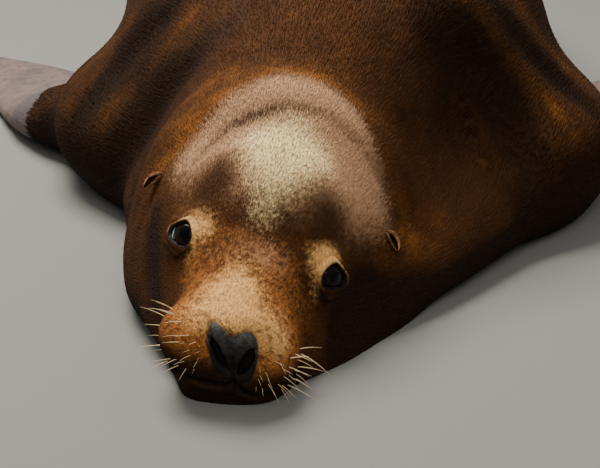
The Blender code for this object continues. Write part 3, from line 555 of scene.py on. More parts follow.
SHOULDER_HOLLOWS = [
    ([(-0.140, -0.606, 0.250), (-0.180, -0.606, 0.206), (-0.214, -0.590, 0.168), (-0.242, -0.568, 0.126),
      (-0.262, -0.556, 0.090), (-0.280, -0.552, 0.040), (-0.290, -0.552, 0.000)], 0.028, 0.013),
    ([(-0.186, -0.505, 0.275), (-0.212, -0.500, 0.236), (-0.243, -0.474, 0.200), (-0.276, -0.462, 0.165),
      (-0.310, -0.468, 0.120), (-0.325, -0.470, 0.070)], 0.020, 0.006),
    ([(0.090, -0.600, 0.262), (0.118, -0.590, 0.218), (0.140, -0.585, 0.186), (0.160, -0.588, 0.158),
      (0.181, -0.597, 0.130), (0.195, -0.612, 0.100), (0.200, -0.630, 0.060)], 0.026, 0.011),
    ([(0.146, -0.522, 0.268), (0.176, -0.520, 0.226), (0.198, -0.520, 0.200), (0.226, -0.514, 0.174),
      (0.262, -0.516, 0.142), (0.285, -0.520, 0.100)], 0.017, 0.006),
]
# Lines along the shoulders' ridges, followed only by painted highlights.
SHOULDER_RIDGES = [
    [(-0.160, -0.536, 0.272), (-0.203, -0.543, 0.219), (-0.241, -0.520, 0.173), (-0.270, -0.506, 0.140),
     (-0.288, -0.512, 0.105)],
    [(-0.258, -0.430, 0.216), (-0.300, -0.395, 0.170), (-0.340, -0.390, 0.132)],
    [(0.118, -0.564, 0.272), (0.159, -0.554, 0.218), (0.195, -0.549, 0.177), (0.227, -0.550, 0.148),
     (0.241, -0.566, 0.115)],
    [(0.188, -0.474, 0.248), (0.217, -0.480, 0.206), (0.250, -0.476, 0.172), (0.285, -0.470, 0.145)],
]


def by_shoulders(p):
    """True on the slice of the body that holds the shoulders' hollows and ridges."""
    return np.abs(p[:, 1] + 0.53) < 0.20


def shoulder_folds(f, p):
    """Long hollows on both sides of the ridge that runs from the withers to each foreflipper."""
    near = by_shoulders(p) & (np.abs(f) < 0.06)
    pressed = np.zeros(near.sum())
    for points, wide, deep in SHOULDER_HOLLOWS:
        pressed = pressed + groove(p[near], points, wide, deep)
    f[near] = f[near] + pressed
    return f


def head_field(q):
    """The head in its own frame: masses, mouth, nose pad, sockets and nape, and then the creases."""
    f = union(nape(q), mound(nose_pad(with_mouth(head_mass(q), q), q), q), 0.030)
    for points, wide, deep in NECK_FOLDS:
        f = f + groove(q, points, wide, deep)
    return f


def unclipped(p):
    """The whole animal before the floor cuts it."""
    head = close_to(p, from_head((0, 0.04, 0)), 0.30, lambda near: head_field(to_head(near)))
    f = union(body(p), head, 0.032)
    for side in (-1, 1):
        dx, dy = LIMB_SHIFT[side]
        arm = (side * (0.21 + dx), -0.38 + dy, 0.10)
        f = union(f, close_to(p, arm, 0.30, shoulder, side), 0.05)
        x, y = SHOULDER + FORE_ALONG * 0.42
        blade = (side * (x + dx), y + dy, 0.03)
        f = union(f, close_to(p, blade, 0.55, foreflipper, side), 0.05)
    f = union(f, close_to(p, (0, 1.16, 0.03), 0.42, hind_flipper), 0.04)
    tail = cone(p, (0, 1.02, 0.065), (0, 1.121, 0.046), 0.040, 0.015)
    return shoulder_folds(union(f, tail, 0.03), p)


COAT = 0.0014


def skin_field(p):
    """The animal less the depth of its coat, with the openings of eyes and nostrils cut afterwards."""
    f = unclipped(p) + COAT
    q = to_head(p)
    near = (np.abs(f) < 0.03) & (np.linalg.norm(q - (0, -0.05, -0.03), axis=1) < 0.16)
    f[near] = with_nostrils(with_lids(f[near], q[near]), q[near])
    return f


# %% [markdown]
# ## From distance to mesh
# Surface nets put one vertex in each grid cell that the surface crosses, at the mean of the crossings on the
# cell's edges, and one quad across each crossed edge. The grid widens towards the trunk and narrows again at
# the hind flippers. Where the face needs more, triangles are cut in four, level by level, and every new
# corner slides down the slope of the distance onto the true surface, so the fine parts stay exact and the
# broad back stays light.


# %% Surface nets
def surface_nets(field, xs, ys, zs, warp):
    """Vertices and quads of the zero level on a warped grid."""
    gx, gy, gz = np.meshgrid(xs, ys, zs, indexing="ij")
    place = warp(gx, gy, gz)
    shape = gx.shape
    coarse = place[::4, ::4, ::4]
    rough = field(coarse.reshape(-1, 3)).reshape(coarse.shape[:3])

    def grow(a):
        """Each coarse sample repeated over its block of four by four by four grid points."""
        return np.repeat(np.repeat(np.repeat(a, 4, 0), 4, 1), 4, 2)[:shape[0], :shape[1], :shape[2]]

    f, close = grow(rough).copy(), grow(np.abs(rough) < 0.11)
    f[close] = field(place[close])
    inside = f < 0
    corners = [(i, j, k) for i in (0, 1) for j in (0, 1) for k in (0, 1)]
    n = np.array(shape) - 1
    count = sum(inside[i:n[0] + i, j:n[1] + j, k:n[2] + k].astype(np.int8) for i, j, k in corners)
    mixed = (count > 0) & (count < 8)
    index = -np.ones(mixed.shape, int)
    index[mixed] = np.arange(mixed.sum())
    cell = np.column_stack(np.nonzero(mixed))
    total, crossings = np.zeros((len(cell), 3)), np.zeros(len(cell))
    for corner in corners:
        for axis in range(3):
            if corner[axis]:
                continue
            other = list(corner)
            other[axis] = 1
            a, b = tuple((cell + corner).T), tuple((cell + other).T)
            cross = inside[a] != inside[b]
            t = np.where(cross, f[a] / np.where(cross, f[a] - f[b], 1), 0)[:, None]
            total += np.where(cross[:, None], place[a] + (place[b] - place[a]) * t, 0)
            crossings += cross
    quads = []
    for axis in range(3):
        e, g = [(1, 2), (2, 0), (0, 1)][axis]
        low = inside[tuple(slice(None, -1) if q == axis else slice(1, -1) for q in range(3))]
        high = inside[tuple(slice(1, None) if q == axis else slice(1, -1) for q in range(3))]
        for flip, crossed in ((False, low & ~high), (True, ~low & high)):
            start = np.column_stack(np.nonzero(crossed)) + np.where(np.arange(3) == axis, 0, 1)
            ring = []
            for de, dg in ((0, 0), (-1, 0), (-1, -1), (0, -1)):
                at = start.copy()
                at[:, e] += de
                at[:, g] += dg
                ring.append(index[tuple(at.T)])
            ring = np.column_stack(ring)
            quads.append(ring[:, ::-1] if flip else ring)
    return total / crossings[:, None], np.vstack(quads)


def slope(field, p, step=0.0004):
    """The distance, and the unit direction in which it grows, from four samples."""
    base = field(p)
    return base, unit(np.column_stack([field(p + step * e) - base for e in np.eye(3)]))


def settle(field, p, rounds=2, limit=0.004):
    """Slide points onto the surface."""
    for _ in range(rounds):
        f, out = slope(field, p)
        p = p - out * np.clip(f, -limit, limit)[:, None]
    return p


def relax(points, faces, movable, rounds=2):
    """Even out the net: corners drift towards the mean of their neighbours, then settle again."""
    ends = np.vstack([faces[:, [0, 1]], faces[:, [1, 2]], faces[:, [2, 0]]])
    ends = np.vstack([ends, ends[:, ::-1]])
    number = np.bincount(ends[:, 0], minlength=len(points))
    for _ in range(rounds):
        total = [np.bincount(ends[:, 0], points[ends[:, 1], k], len(points)) for k in range(3)]
        mean = np.column_stack(total) / np.maximum(number, 1)[:, None]
        points = points.copy()
        points[movable] += 0.5 * (mean - points)[movable]
        points[movable] = settle(skin_field, points[movable], 1)
    return points


def refine(points, faces, chosen):
    """Cut each chosen triangle in four, and its neighbours so that no edge is left hanging."""
    pairs = np.sort(faces[:, [[0, 1], [1, 2], [2, 0]]], axis=2)
    key = pairs[..., 0] * len(points) + pairs[..., 1]
    names, which = np.unique(key, return_inverse=True)
    which = which.reshape(key.shape)
    cut = np.zeros(len(names), bool)
    cut[which[chosen]] = True
    while True:
        two = cut[which].sum(1) == 2
        if not two.any():
            break
        cut[which[two]] = True
    middle = -np.ones(len(names), int)
    middle[cut] = len(points) + np.arange(cut.sum())
    made = (points[names[cut] // len(points)] + points[names[cut] % len(points)]) / 2
    has, mid = cut[which], middle[which]
    whole, a, b, c = has.all(1), *faces.T
    m0, m1, m2 = mid.T
    four = [np.column_stack(t)[whole] for t in ((a, m0, m2), (b, m1, m0), (c, m2, m1), (m0, m1, m2))]
    kept = [faces[~has.any(1)]]
    for k in range(3):
        one = has[:, k] & (has.sum(1) == 1)
        start, end, apex = faces[one, k], faces[one, (k + 1) % 3], faces[one, (k + 2) % 3]
        kept += [np.column_stack([start, mid[one, k], apex]), np.column_stack([mid[one, k], end, apex])]
    return np.vstack([points, made]), np.vstack(kept + four), np.arange(len(points), len(points) + len(made))


# %% Skin mesh
def stations(low, high, fine, coarse, turn, over):
    """Grid lines whose spacing grows from fine to coarse beyond `turn`."""
    line = [low]
    while line[-1] < high:
        line.append(line[-1] + fine + (coarse - fine) * np.clip((line[-1] - turn) / over, 0, 1))
    return np.array(line)


def wrap(x, y, z):
    """Widens the grid towards the trunk, narrows it at the hind flippers and follows the bend of the neck."""
    wide = 1 + 2.0 * np.clip((y + 0.72) / 0.25, 0, 1) - 1.68 * np.clip((y - 0.70) / 0.30, 0, 1)
    return np.stack([curve(y.ravel(), BODY_MIDDLE).reshape(y.shape) + x * wide, y, z], -1)


# The net's lines across the body, back along it and up, in metres, before wrap widens it.
across = np.arange(-0.27, 0.27, 0.0056)
back = stations(-1.02, 1.44, 0.0078, 0.0118, -0.66, 0.3)
upward = np.arange(-0.034, 0.46, 0.0088)
points, quads = surface_nets(skin_field, across, back, upward, wrap)
faces = np.vstack([quads[:, [0, 1, 2]], quads[:, [0, 2, 3]]])
print("first net", len(points), "points", len(faces), "triangles")


def refine_where(points, faces, wanted):
    """Cut the wanted triangles in four, slide the new corners onto the surface and even out the net there."""
    points, faces, fresh = refine(points, faces, wanted(points[faces].mean(1)))
    points[fresh] = settle(skin_field, points[fresh])
    movable = np.zeros(len(points), bool)
    movable[fresh] = True
    movable |= wanted(points)
    return relax(points, faces, movable), faces


def whole_head(p):
    """The head, the folds beside it and the line where the front half meets the floor."""
    q = to_head(p)
    near = np.linalg.norm((q - (0, 0.04, 0.01)) / (1.05, 1.15, 1.0), axis=1) < 0.172
    folds = (q[:, 1] < 0.19) & (np.abs(q[:, 0]) > 0.09)
    contact = (p[:, 2] < 0.010) & (p[:, 1] < 0.5)
    return (near | folds | contact) & (p[:, 2] > -0.0035)


def face_parts(p):
    """Round the eyes, the muzzle, the folds by the ears and the chin's contact with the floor."""
    q = to_head(p)
    eyes = eye_places(q)[0] < EYE_RADIUS + 0.020
    muzzle = (q[:, 1] < -0.035) & (q[:, 2] > -0.105)
    contact = (p[:, 2] < 0.008) & (p[:, 1] < -0.68)
    folds = (q[:, 1] < 0.12) & (q[:, 1] > 0.05) & (np.abs(q[:, 0]) > 0.105)
    return (eyes | muzzle | folds | contact) & (p[:, 2] > -0.003)


def flipper_edges(p):
    """Where the toes and the blades of the flippers come down to the floor."""
    s, u = hind_places(p)
    low = (p[:, 2] < 0.011) & (p[:, 2] > -0.004)
    toes = (s > 0.10) & (np.abs(u) < 0.12) & low
    blades = low & (np.abs(p[:, 0]) > 0.31) & (p[:, 1] > -0.30) & (p[:, 1] < 0.7)
    return toes | blades


def finest(p):
    """The lids, the nose pad and the lips."""
    q = to_head(p)
    r, edge = eye_places(q)[:2]
    eyes = (r < EYE_RADIUS + 0.009) & (edge < 1.0)
    nose = (q[:, 1] < -0.094) & (pad_edge(q) < 0.007)
    lips = (q[:, 1] < -0.085) & (np.abs(q[:, 2] + 0.080) < 0.010)
    return (eyes | nose | lips) & (p[:, 2] > -0.002)


points = settle(skin_field, points, 1)
for wanted in (whole_head, flipper_edges, face_parts, finest):
    points, faces = refine_where(points, faces, wanted)
    print(wanted.__name__, len(points), "points", len(faces), "triangles")

# %% [markdown]
# ### Resting on the floor
# Flesh that meets the floor is pressed flat. Corners just above or below the floor move level with it and
# then slide sideways onto the outline, which gives a clean contact line, and all that is lower is pressed up.


# %% Floor contact
def press_flat(points, faces):
    """Corners within a third of a cell of the floor go to the contact line, lower ones up to the floor."""
    edge = np.linalg.norm(points[faces[:, 0]] - points[faces[:, 1]], axis=1)
    size = np.zeros(len(points))
    np.maximum.at(size, faces.ravel(), np.repeat(edge, 3))
    near = np.abs(points[:, 2]) < 0.36 * np.minimum(size, 0.012)
    level = points[near] * (1, 1, 0)
    for _ in range(3):
        f, out = slope(skin_field, level)
        flat = unit(out * (1, 1, 0))
        level = level - flat * np.clip(f, -0.003, 0.003)[:, None]
    points = points.copy()
    points[near] = level
    points[:, 2] = np.maximum(points[:, 2], 0.0)
    return points


def thin_underside(points, faces, cell=0.045):
    """Merge the corners of the hidden underside, all but its rim, into one for each square of a coarse grid.

    Triangles with two equal corners have gone flat and are dropped, and so are two that share all three
    corners, because they lie on each other.
    """
    down = points[:, 2] <= 0
    rim = np.zeros(len(points), bool)
    rim[faces[~down[faces].all(1)].ravel()] = True
    loose = down & ~rim
    group = np.arange(len(points))
    box = np.floor(points[loose, :2] / cell).astype(int)
    _, name = np.unique(box[:, 0] * 4096 + box[:, 1], return_inverse=True)
    name = name.ravel()
    first = np.full(name.max() + 1, len(points))
    np.minimum.at(first, name, np.nonzero(loose)[0])
    group[loose] = first[name]
    points = points.copy()
    for k in range(2):
        points[first, k] = np.bincount(name, points[loose, k]) / np.bincount(name)
    faces = group[faces]
    faces = faces[(faces[:, 0] != faces[:, 1]) & (faces[:, 1] != faces[:, 2]) & (faces[:, 2] != faces[:, 0])]
    _, first, times = np.unique(np.sort(faces, axis=1), axis=0, return_index=True, return_counts=True)
    faces = faces[np.sort(first[times % 2 == 1])]
    used, faces = np.unique(faces, return_inverse=True)
    return points[used], faces.reshape(-1, 3)


points = press_flat(points, faces)
points, faces = thin_underside(points, faces)
edges = np.sort(faces[:, [0, 1, 1, 2, 2, 0]].reshape(-1, 2), axis=1)
_, users = np.unique(edges[:, 0].astype(np.int64) * len(points) + edges[:, 1], return_counts=True)
print("edges with one, two and more triangles:", (users == 1).sum(), (users == 2).sum(), (users > 2).sum())
print("after thinning the underside", len(points), "points", len(faces), "triangles")
span = points[faces]
volume = np.einsum("ij,ij->i", span[:, 0], np.cross(span[:, 1], span[:, 2])).sum() / 6
if volume < 0:
    faces = faces[:, ::-1]
print("skin volume", round(abs(volume), 4), "m3")

# %% [markdown]
# ## The lie of the hair and the markings
# Two questions are answered for any point of the skin: which way does the hair lie there, and what colour is
# it? Both answers are formulas, so the skin and every hair on it can ask the same function and agree. Hair
# runs from the nose back over the head, towards the tail on the trunk and outwards along the limbs.


# %% Corners' own directions
def outward_of(points, faces):
    """Sum of the faces' cross products at each corner, made one long."""
    span = points[faces]
    across = np.repeat(np.cross(span[:, 1] - span[:, 0], span[:, 2] - span[:, 0]), 3, axis=0)
    return unit(np.column_stack([np.bincount(faces.ravel(), across[:, k], len(points)) for k in range(3)]))


def limb_share(p, side):
    """1 on a foreflipper, 0 on the trunk, and a soft step at the shoulder."""
    s, u = fore_places(p, side)
    lead, trail, top = curve(s, FORE_LEAD), curve(s, FORE_TRAIL), curve(s, FORE_TOP)
    low = fade(p[:, 2], 1.5 * top + 0.03, 1.1 * top + 0.01)
    return low * fade(s, 0.02, 0.16) * fade(u, trail - 0.06, trail - 0.01) * fade(u, lead + 0.05, lead + 0.01)


def toes_share(p):
    """1 on a hind flipper, 0 on the trunk."""
    s, u = hind_places(p)
    low = fade(p[:, 2], 1.5 * curve(s, HIND_TOP) + 0.03, 1.1 * curve(s, HIND_TOP) + 0.01)
    return low * fade(s, -0.06, 0.04) * fade(np.abs(u), 0.13, 0.09)


HAIR_SOURCE = (-0.002, -0.150, -0.045)


def lie(p, out):
    """Unit vectors along the hair, from its root to its tip, in the plane of the skin."""
    q = to_head(p)
    from_nose = unit(q - HAIR_SOURCE) @ HEAD_TURN.T
    way = np.broadcast_to([0.0, 1.0, 0.0], p.shape)
    way = way + (from_nose - way) * fade(q[:, 1], 0.20, 0.04)[:, None]
    for side in (-1, 1):
        along = np.array([side * FORE_ALONG[0], FORE_ALONG[1], 0])
        way = way + (along - way) * limb_share(p, side)[:, None]
        toes = np.array([side * HIND_ALONG[0], HIND_ALONG[1], 0])
        way = way + (toes - way) * (toes_share(p) * (side * p[:, 0] > 0))[:, None]
    way = way - out * (way * out).sum(1)[:, None]
    return unit(way)


# %% [markdown]
# ### Markings
# An adult male is dark chocolate, and the sun bleaches the ridges to orange-brown. Light and shade are
# painted
# into the same colours: painted highlights where the fur faces up, on the ridges and on the nape, and painted
# shade below near the floor, in the folds and hollows, in bands beside the eyes and on the shaded sides of
# the head and neck. The crest is pale cream in old males, the forehead beside it greyish, the lids and the
# bridge of the nose golden, the whisker pads rusty and the cheeks nearly black, partly with painted shade.
# The flippers are bare beyond the wrist. Colours could be painted by hand on a map, but soft patches told by
# a centre and three radii need no map, and every hair can ask for its own share of them.


# %% Patches and hollows
GREY_BORDER = [(-0.130, 0.070), (-0.113, 0.088), (-0.092, 0.104), (-0.076, 0.124), (-0.052, 0.143),
               (-0.022, 0.160), (0.013, 0.160), (0.043, 0.152), (0.075, 0.131), (0.099, 0.114),
               (0.116, 0.100), (0.130, 0.085)]
# A band of painted shade down the right side of the head, outside the eye.
SHADE_BAND_RIGHT = [(-0.106, 0.052, -0.012), (-0.099, 0.030, -0.038), (-0.088, 0.008, -0.056),
             (-0.074, -0.014, -0.068)]
# Each row is a weight, a centre and three radii. They are in the head's frame, but for the neck's painted
# shade.
# Painted light on the animal's left: beside the head and on the side of the muzzle.
PAINTED_LIGHT_LEFT = [(0.16, (0.150, 0.080, 0.000), (0.045, 0.050, 0.060)),
               (0.30, (0.072, -0.045, -0.040), (0.022, 0.035, 0.030))]
FOREHEAD = [(0.46, (0.002, -0.036, 0.012), (0.032, 0.026, 0.030))]
BROWS = [(1.00, (0.058, -0.006, 0.012), (0.017, 0.014, 0.018)),
         (0.80, (0.074, 0.004, 0.022), (0.015, 0.010, 0.010)),
         (0.45, (0.062, -0.022, -0.012), (0.010, 0.010, 0.012))]
BRIDGE = [(1.00, (-0.010, -0.080, -0.002), (0.025, 0.030, 0.028)),
          (0.18, (-0.014, -0.050, 0.004), (0.020, 0.020, 0.030)),
          (0.90, (-0.002, -0.102, -0.016), (0.024, 0.020, 0.014))]
UPPER_PADS = [(1.00, (0.034, -0.100, -0.028), (0.020, 0.026, 0.018))]
RUSTY_PADS = [(1.10, (0.034, -0.092, -0.042), (0.034, 0.042, 0.030))]
RUSTY_MUZZLE = [(0.58, (0.000, -0.050, 0.000), (0.066, 0.045, 0.050))]
CREST_FOOT = [(0.22, (-0.010, 0.000, 0.030), (0.020, 0.020, 0.030))]
TEMPLES = [(0.85, (-0.058, 0.026, 0.045), (0.024, 0.034, 0.050)),
           (0.70, (0.056, 0.020, 0.044), (0.032, 0.028, 0.050))]
BETWEEN_EYES = [(0.16, (-0.010, -0.020, 0.018), (0.048, 0.013, 0.030))]
# Painted shade from behind the left eye down towards the neck, on the side in shadow.
SHADE_BEHIND_LEFT_EYE = [(0.80, (0.102, 0.031, -0.021), (0.020, 0.024, 0.024)),
                   (0.70, (0.097, 0.000, -0.050), (0.020, 0.020, 0.022))]
UNDER_PADS = [(0.30, (0.044, -0.100, -0.060), (0.018, 0.026, 0.016))]
MOUTH_CORNERS = [(0.18, (0.060, -0.060, -0.030), (0.016, 0.028, 0.030)),
                 (0.25, (-0.058, -0.060, -0.030), (0.016, 0.028, 0.030))]
# Painted shade on the neck: on the left of the chest and beside the head on the right.
SHADE_ON_NECK = [(0.24, (0.120, -0.680, 0.090), (0.070, 0.080, 0.070)),
             (0.28, (-0.215, -0.640, 0.130), (0.040, 0.060, 0.050))]


def patches(q, rows):
    """Soft patches added up: weight times exp(-|d/r|^2) for each row of a weight, a centre and radii."""
    total = np.zeros(len(q))
    for weight, centre, radii in rows:
        total = total + weight * np.exp(-(((q - np.array(centre)) / np.array(radii)) ** 2).sum(1))
    return total


def hollow_and_ridge(p, out, reach=0.030):
    """Walls close by outside mean a hollow; a shallow depth below the skin means a ridge."""
    hollow = fade(reach - skin_field(p + reach * out), 0.001, 0.012)
    ridge = fade(skin_field(p - reach * out) + reach, 0.001, 0.010)
    return hollow, ridge


def shoulder_highlights_and_shade(p):
    """Painted highlights along the shoulders' ridges and painted shade in their hollows, each a bell across
    its line.
    """
    ridge_highlight, shaded = np.zeros(len(p)), np.zeros(len(p))
    near = by_shoulders(p)
    for points in SHOULDER_RIDGES:
        ridge_highlight[near] += np.exp(-(from_line(p[near], points)[0] / 0.011) ** 2)
    for points, wide, _ in SHOULDER_HOLLOWS:
        shaded[near] += np.exp(-(from_line(p[near], points)[0] / (1.1 * wide)) ** 2)
    return ridge_highlight, shaded


# %% Sun, grey and gold
def bleach_and_light_share(p, q, out, on_head, relief):
    """Bleaching, and painted light and shade: up-facing fur and ridges high, hollows low, more even on the
    face.

    Behind the grey crown a painted highlight lies along the border and on the top of the nape's fold.
    """
    hollow, ridge, ridge_highlight, shaded = relief
    x, y, z = q.T
    # Painted light and shade: fur that faces up and the ridges are lighter, the hollows darker.
    lit = fade(out[:, 2], -0.1, 0.95)
    sun = 0.02 + 0.48 * lit + 0.46 * ridge * lit * fade(p[:, 1], 1.02, 0.85) - 0.40 * hollow
    face_sun = 0.40 + 0.24 * lit - 0.3 * hollow
    sun = sun + (face_sun - sun) * on_head
    # Painted highlights on the top of the nape's fold and just behind the grey border.
    rim = 0.7 * np.exp(-((behind_nape(q) - 0.006) / 0.017) ** 2)
    rim = rim * fade(np.hypot(x, z + 0.010), 0.112, 0.130) * fade(z, -0.02, 0.04)
    border = y - curve(x, GREY_BORDER)
    glow = np.exp(-np.maximum(border, 0) / 0.030) * fade(border, -0.008, 0.004)
    glow = glow * (y < 0.30) * fade(z, -0.03, 0.03)
    # Painted highlights on the shoulders' ridges, painted shade in their hollows.
    sun = sun + 0.15 * rim + 0.26 * glow + 0.26 * ridge_highlight - 0.25 * shaded
    # And patches of painted light on the left of the neck and the muzzle.
    return sun + patches(q, PAINTED_LIGHT_LEFT)


def grey_share(p, q, temples):
    """The greyish crown inside its border, thinner away from its middle and over the temples."""
    x, y, z = q.T
    border = y - curve(x, GREY_BORDER)
    crown = np.hypot((x - 0.002) / 0.115, (y - 0.085) / 0.105)
    grey = fade(y, -0.020, 0.030) * fade(z, -0.010, 0.050) * fade(border, 0.014, -0.026) * (p[:, 1] < -0.6)
    grey = grey * (0.50 + 0.50 * fade(crown, 1.10, 0.55)) + patches(q, FOREHEAD)
    return grey * (1 - 0.85 * np.clip(temples * 1.3, 0, 1))


def gold_share(q, on_head):
    """The rims of the upper lids, the brows, the bridge of the nose and the tops of the whisker pads."""
    left = q[:, 0] > 0
    r, edge, lid_out, lid_up = eye_places(q)
    lids = np.exp(-((edge - 0.22) / 0.16) ** 2) * (r < EYE_RADIUS + 0.012)
    lids = lids * fade(lid_up - 0.7 * lid_out, -0.35, 0.35)
    brows = patches(both_sides(q), BROWS) * (1 + 0.35 * left)
    upper_pads = patches(both_sides(q), UPPER_PADS) * (0.62 + 0.35 * left)
    return np.clip(0.34 * lids + 0.72 * brows + 1.05 * patches(q, BRIDGE) + upper_pads, 0, 1) * on_head


# %% Rust, cream and dark
def chin_share(q):
    """1 on the chin, 0 above it and behind it."""
    return fade(q[:, 2], -0.074, -0.086) * fade(q[:, 1], -0.070, -0.090)


def rust_share(q):
    """The whisker pads, the muzzle behind them and a little of the chin."""
    return patches(both_sides(q), RUSTY_PADS) + 0.20 * chin_share(q) + patches(q, RUSTY_MUZZLE)


def pale_share(q, on_head):
    """The cream crest: an egg that widens towards the crown, a little brighter on its right side."""
    x, y, z = q.T
    egg = np.hypot(x / (0.032 + 0.022 * fade(y, -0.010, 0.080)), (y - 0.055) / 0.058)
    pale = fade(egg, 1.40, 0.20) * fade(z, 0.0, 0.03) * (1.05 - 1.5 * np.clip(x, -0.06, 0.06)) * on_head
    return pale + patches(q, CREST_FOOT)


def dark_and_shade_share(p, q, on_head, temples, relief):
    """Dark fur with painted shade: cheeks, temples, bands behind eyes, creases, lower pads, chin, hollows,
    underside.
    """
    hollow, _, ridge_highlight, shaded = relief
    x, y, z = q.T
    # Dark cheeks, partly painted shade, with much more of it on the shaded left cheek.
    cheeks = fade(z, 0.010, -0.024) * fade(np.abs(x), 0.070, 0.094) * fade(y, -0.050, -0.020)
    cheeks = cheeks * on_head * (0.20 + 0.42 * (x > 0))
    # Painted shade in bands behind the eyes.
    behind = 0.85 * np.exp(-(from_line(q, SHADE_BAND_RIGHT)[0] / 0.014) ** 2) + patches(q, SHADE_BEHIND_LEFT_EYE)
    # Painted shade in the crease round the crown.
    crease = 0.42 * np.exp(-(from_line(q, CROWN_CREASE)[0] / 0.006) ** 2)
    lower_pads = 0.55 * fade(z, -0.048, -0.070) * fade(y, -0.06, -0.08)
    lower_pads = lower_pads + patches(both_sides(q), UNDER_PADS) + patches(q, MOUTH_CORNERS)
    # Painted shade on the underside near the floor, less of it on the head.
    under = (0.80 - 0.35 * on_head) * fade(p[:, 2], 0.075, 0.004)
    dark = cheeks + 0.62 * temples + patches(q, BETWEEN_EYES) + behind + crease + lower_pads + under
    # Painted shade in the hollows and the shoulders' hollows, less along the painted highlights of the
    # ridges.
    dark = dark + 0.8 * hollow + 0.5 * chin_share(q) + 0.35 * shaded - 0.3 * ridge_highlight
    # And patches of painted shade on the neck.
    return np.clip(dark + patches(p, SHADE_ON_NECK), 0, 1)


# %% Bare, nose and wet
BARE_FROM, TOES_BARE_FROM = 0.345, 0.1375
WET_LIPS = [(-0.125, -0.0800), (-0.100, -0.0815), (-0.070, -0.084), (0.0, -0.074)]


def bare_share(p):
    """The blades beyond the wrist, nearer the shoulder at the leading edge, and the hind flippers' toes."""
    bare = np.zeros(len(p))
    off_trunk = fade(body(p), 0.004, 0.016)
    for side in (-1, 1):
        s, u = fore_places(p, side)
        edge = BARE_FROM - 0.10 * fade(u, 0.02, 0.11)
        bare = np.maximum(bare, fade(s, edge - 0.012, edge + 0.012) * limb_share(p, side) * off_trunk)
    s, _ = hind_places(p)
    return np.maximum(bare, fade(s, TOES_BARE_FROM - 0.0125, TOES_BARE_FROM + 0.0125) * toes_share(p))


def nose_share(q):
    """1 inside the outline of the nose pad."""
    return fade(pad_edge(q), 0.0016, -0.0006) * fade(q[:, 1], -0.092, -0.100)


def wet_share(q, nose):
    """What glistens: the edges of the lids, the line between the lips, the nostrils, the foot of the nose."""
    x, y, z = q.T
    r, edge = eye_places(q)[:2]
    wet = fade(edge, 0.150, 0.060) * (r < EYE_RADIUS + 0.012)
    lips = 0.8 * np.exp(-((z - curve(y, WET_LIPS)) / 0.0022) ** 2)
    wet = np.maximum(wet, lips * fade(y, -0.01, -0.04) * fade(np.abs(x), 0.09, 0.07))
    wet = np.maximum(wet, fade(nostril_edge(q), 0.0020, -0.0004) * fade(y, -0.092, -0.100))
    # The lower nose pad is wet, and its near black is partly painted shade.
    return np.maximum(wet, 0.92 * fade(nose_places(q)[1], 0.014, -0.010) * nose)


# %% Markings
def markings(p, out):
    """Nine shares, 0 to 1: bleached and painted light, grey, gold; rust, pale, dark and painted shade; bare,
    nose, wet.
    """
    q = to_head(p)
    on_head = fade(q[:, 1], 0.150, 0.118) * fade(p[:, 1], -0.62, -0.70)
    # Hollows and ridges, which get painted shade and painted highlights.
    hollow, ridge = hollow_and_ridge(p, out)
    hollow = hollow * (1 - 0.9 * fade(q[:, 1], -0.060, -0.085))
    relief = (hollow, ridge, *shoulder_highlights_and_shade(p))
    temples = patches(q, TEMPLES)
    gold = gold_share(q, on_head)
    nose = nose_share(q)
    first = (bleach_and_light_share(p, q, out, on_head, relief), grey_share(p, q, temples) * (1 - gold), gold)
    second = (rust_share(q), pale_share(q, on_head),
              dark_and_shade_share(p, q, on_head, temples, relief) * (1 - 0.6 * gold))
    third = (bare_share(p), nose, wet_share(q, nose))
    return tuple(np.clip(np.column_stack(shares), 0, 1) for shares in (first, second, third))


out = outward_of(points, faces)
skin_marks = markings(points, out)
print("marked", len(points), "points; bare share", round(float(skin_marks[2][:, 0].mean()), 3))

# %% [markdown]
# ## Shader arithmetic
# A finish is a network of small nodes. Written out one by one they hide the thought, so a wire is wrapped in
# a class whose plus, minus and times each add the matching Math node.


# %% Wires
class Wire:
    """A node's output. Arithmetic on wires and numbers adds Math nodes to the same tree."""

    def __init__(self, socket):
        self.socket, self.tree = socket, socket.id_data

    def joined(self, kind, first, second):
        """A Math node of this kind that takes the two values."""
        node = self.tree.nodes.new("ShaderNodeMath")
        node.operation = kind
        for place, value in enumerate((first, second)):
            plug(self.tree, value, node.inputs[place])
        return Wire(node.outputs[0])

    def __add__(self, other):
        return self.joined("ADD", self, other)

    def __radd__(self, other):
        return self.joined("ADD", other, self)

    def __sub__(self, other):
        return self.joined("SUBTRACT", self, other)

    def __rsub__(self, other):
        return self.joined("SUBTRACT", other, self)

    def __mul__(self, other):
        return self.joined("MULTIPLY", self, other)

    def __rmul__(self, other):
        return self.joined("MULTIPLY", other, self)


def plug(tree, value, socket):
    """Link a wire to a socket, or set the socket to a number or a colour."""
    if isinstance(value, Wire):
        tree.links.new(value.socket, socket)
    elif isinstance(value, tuple) and len(value) == 3 and socket.type == "RGBA":
        socket.default_value = (*value, 1.0)
    else:
        socket.default_value = value


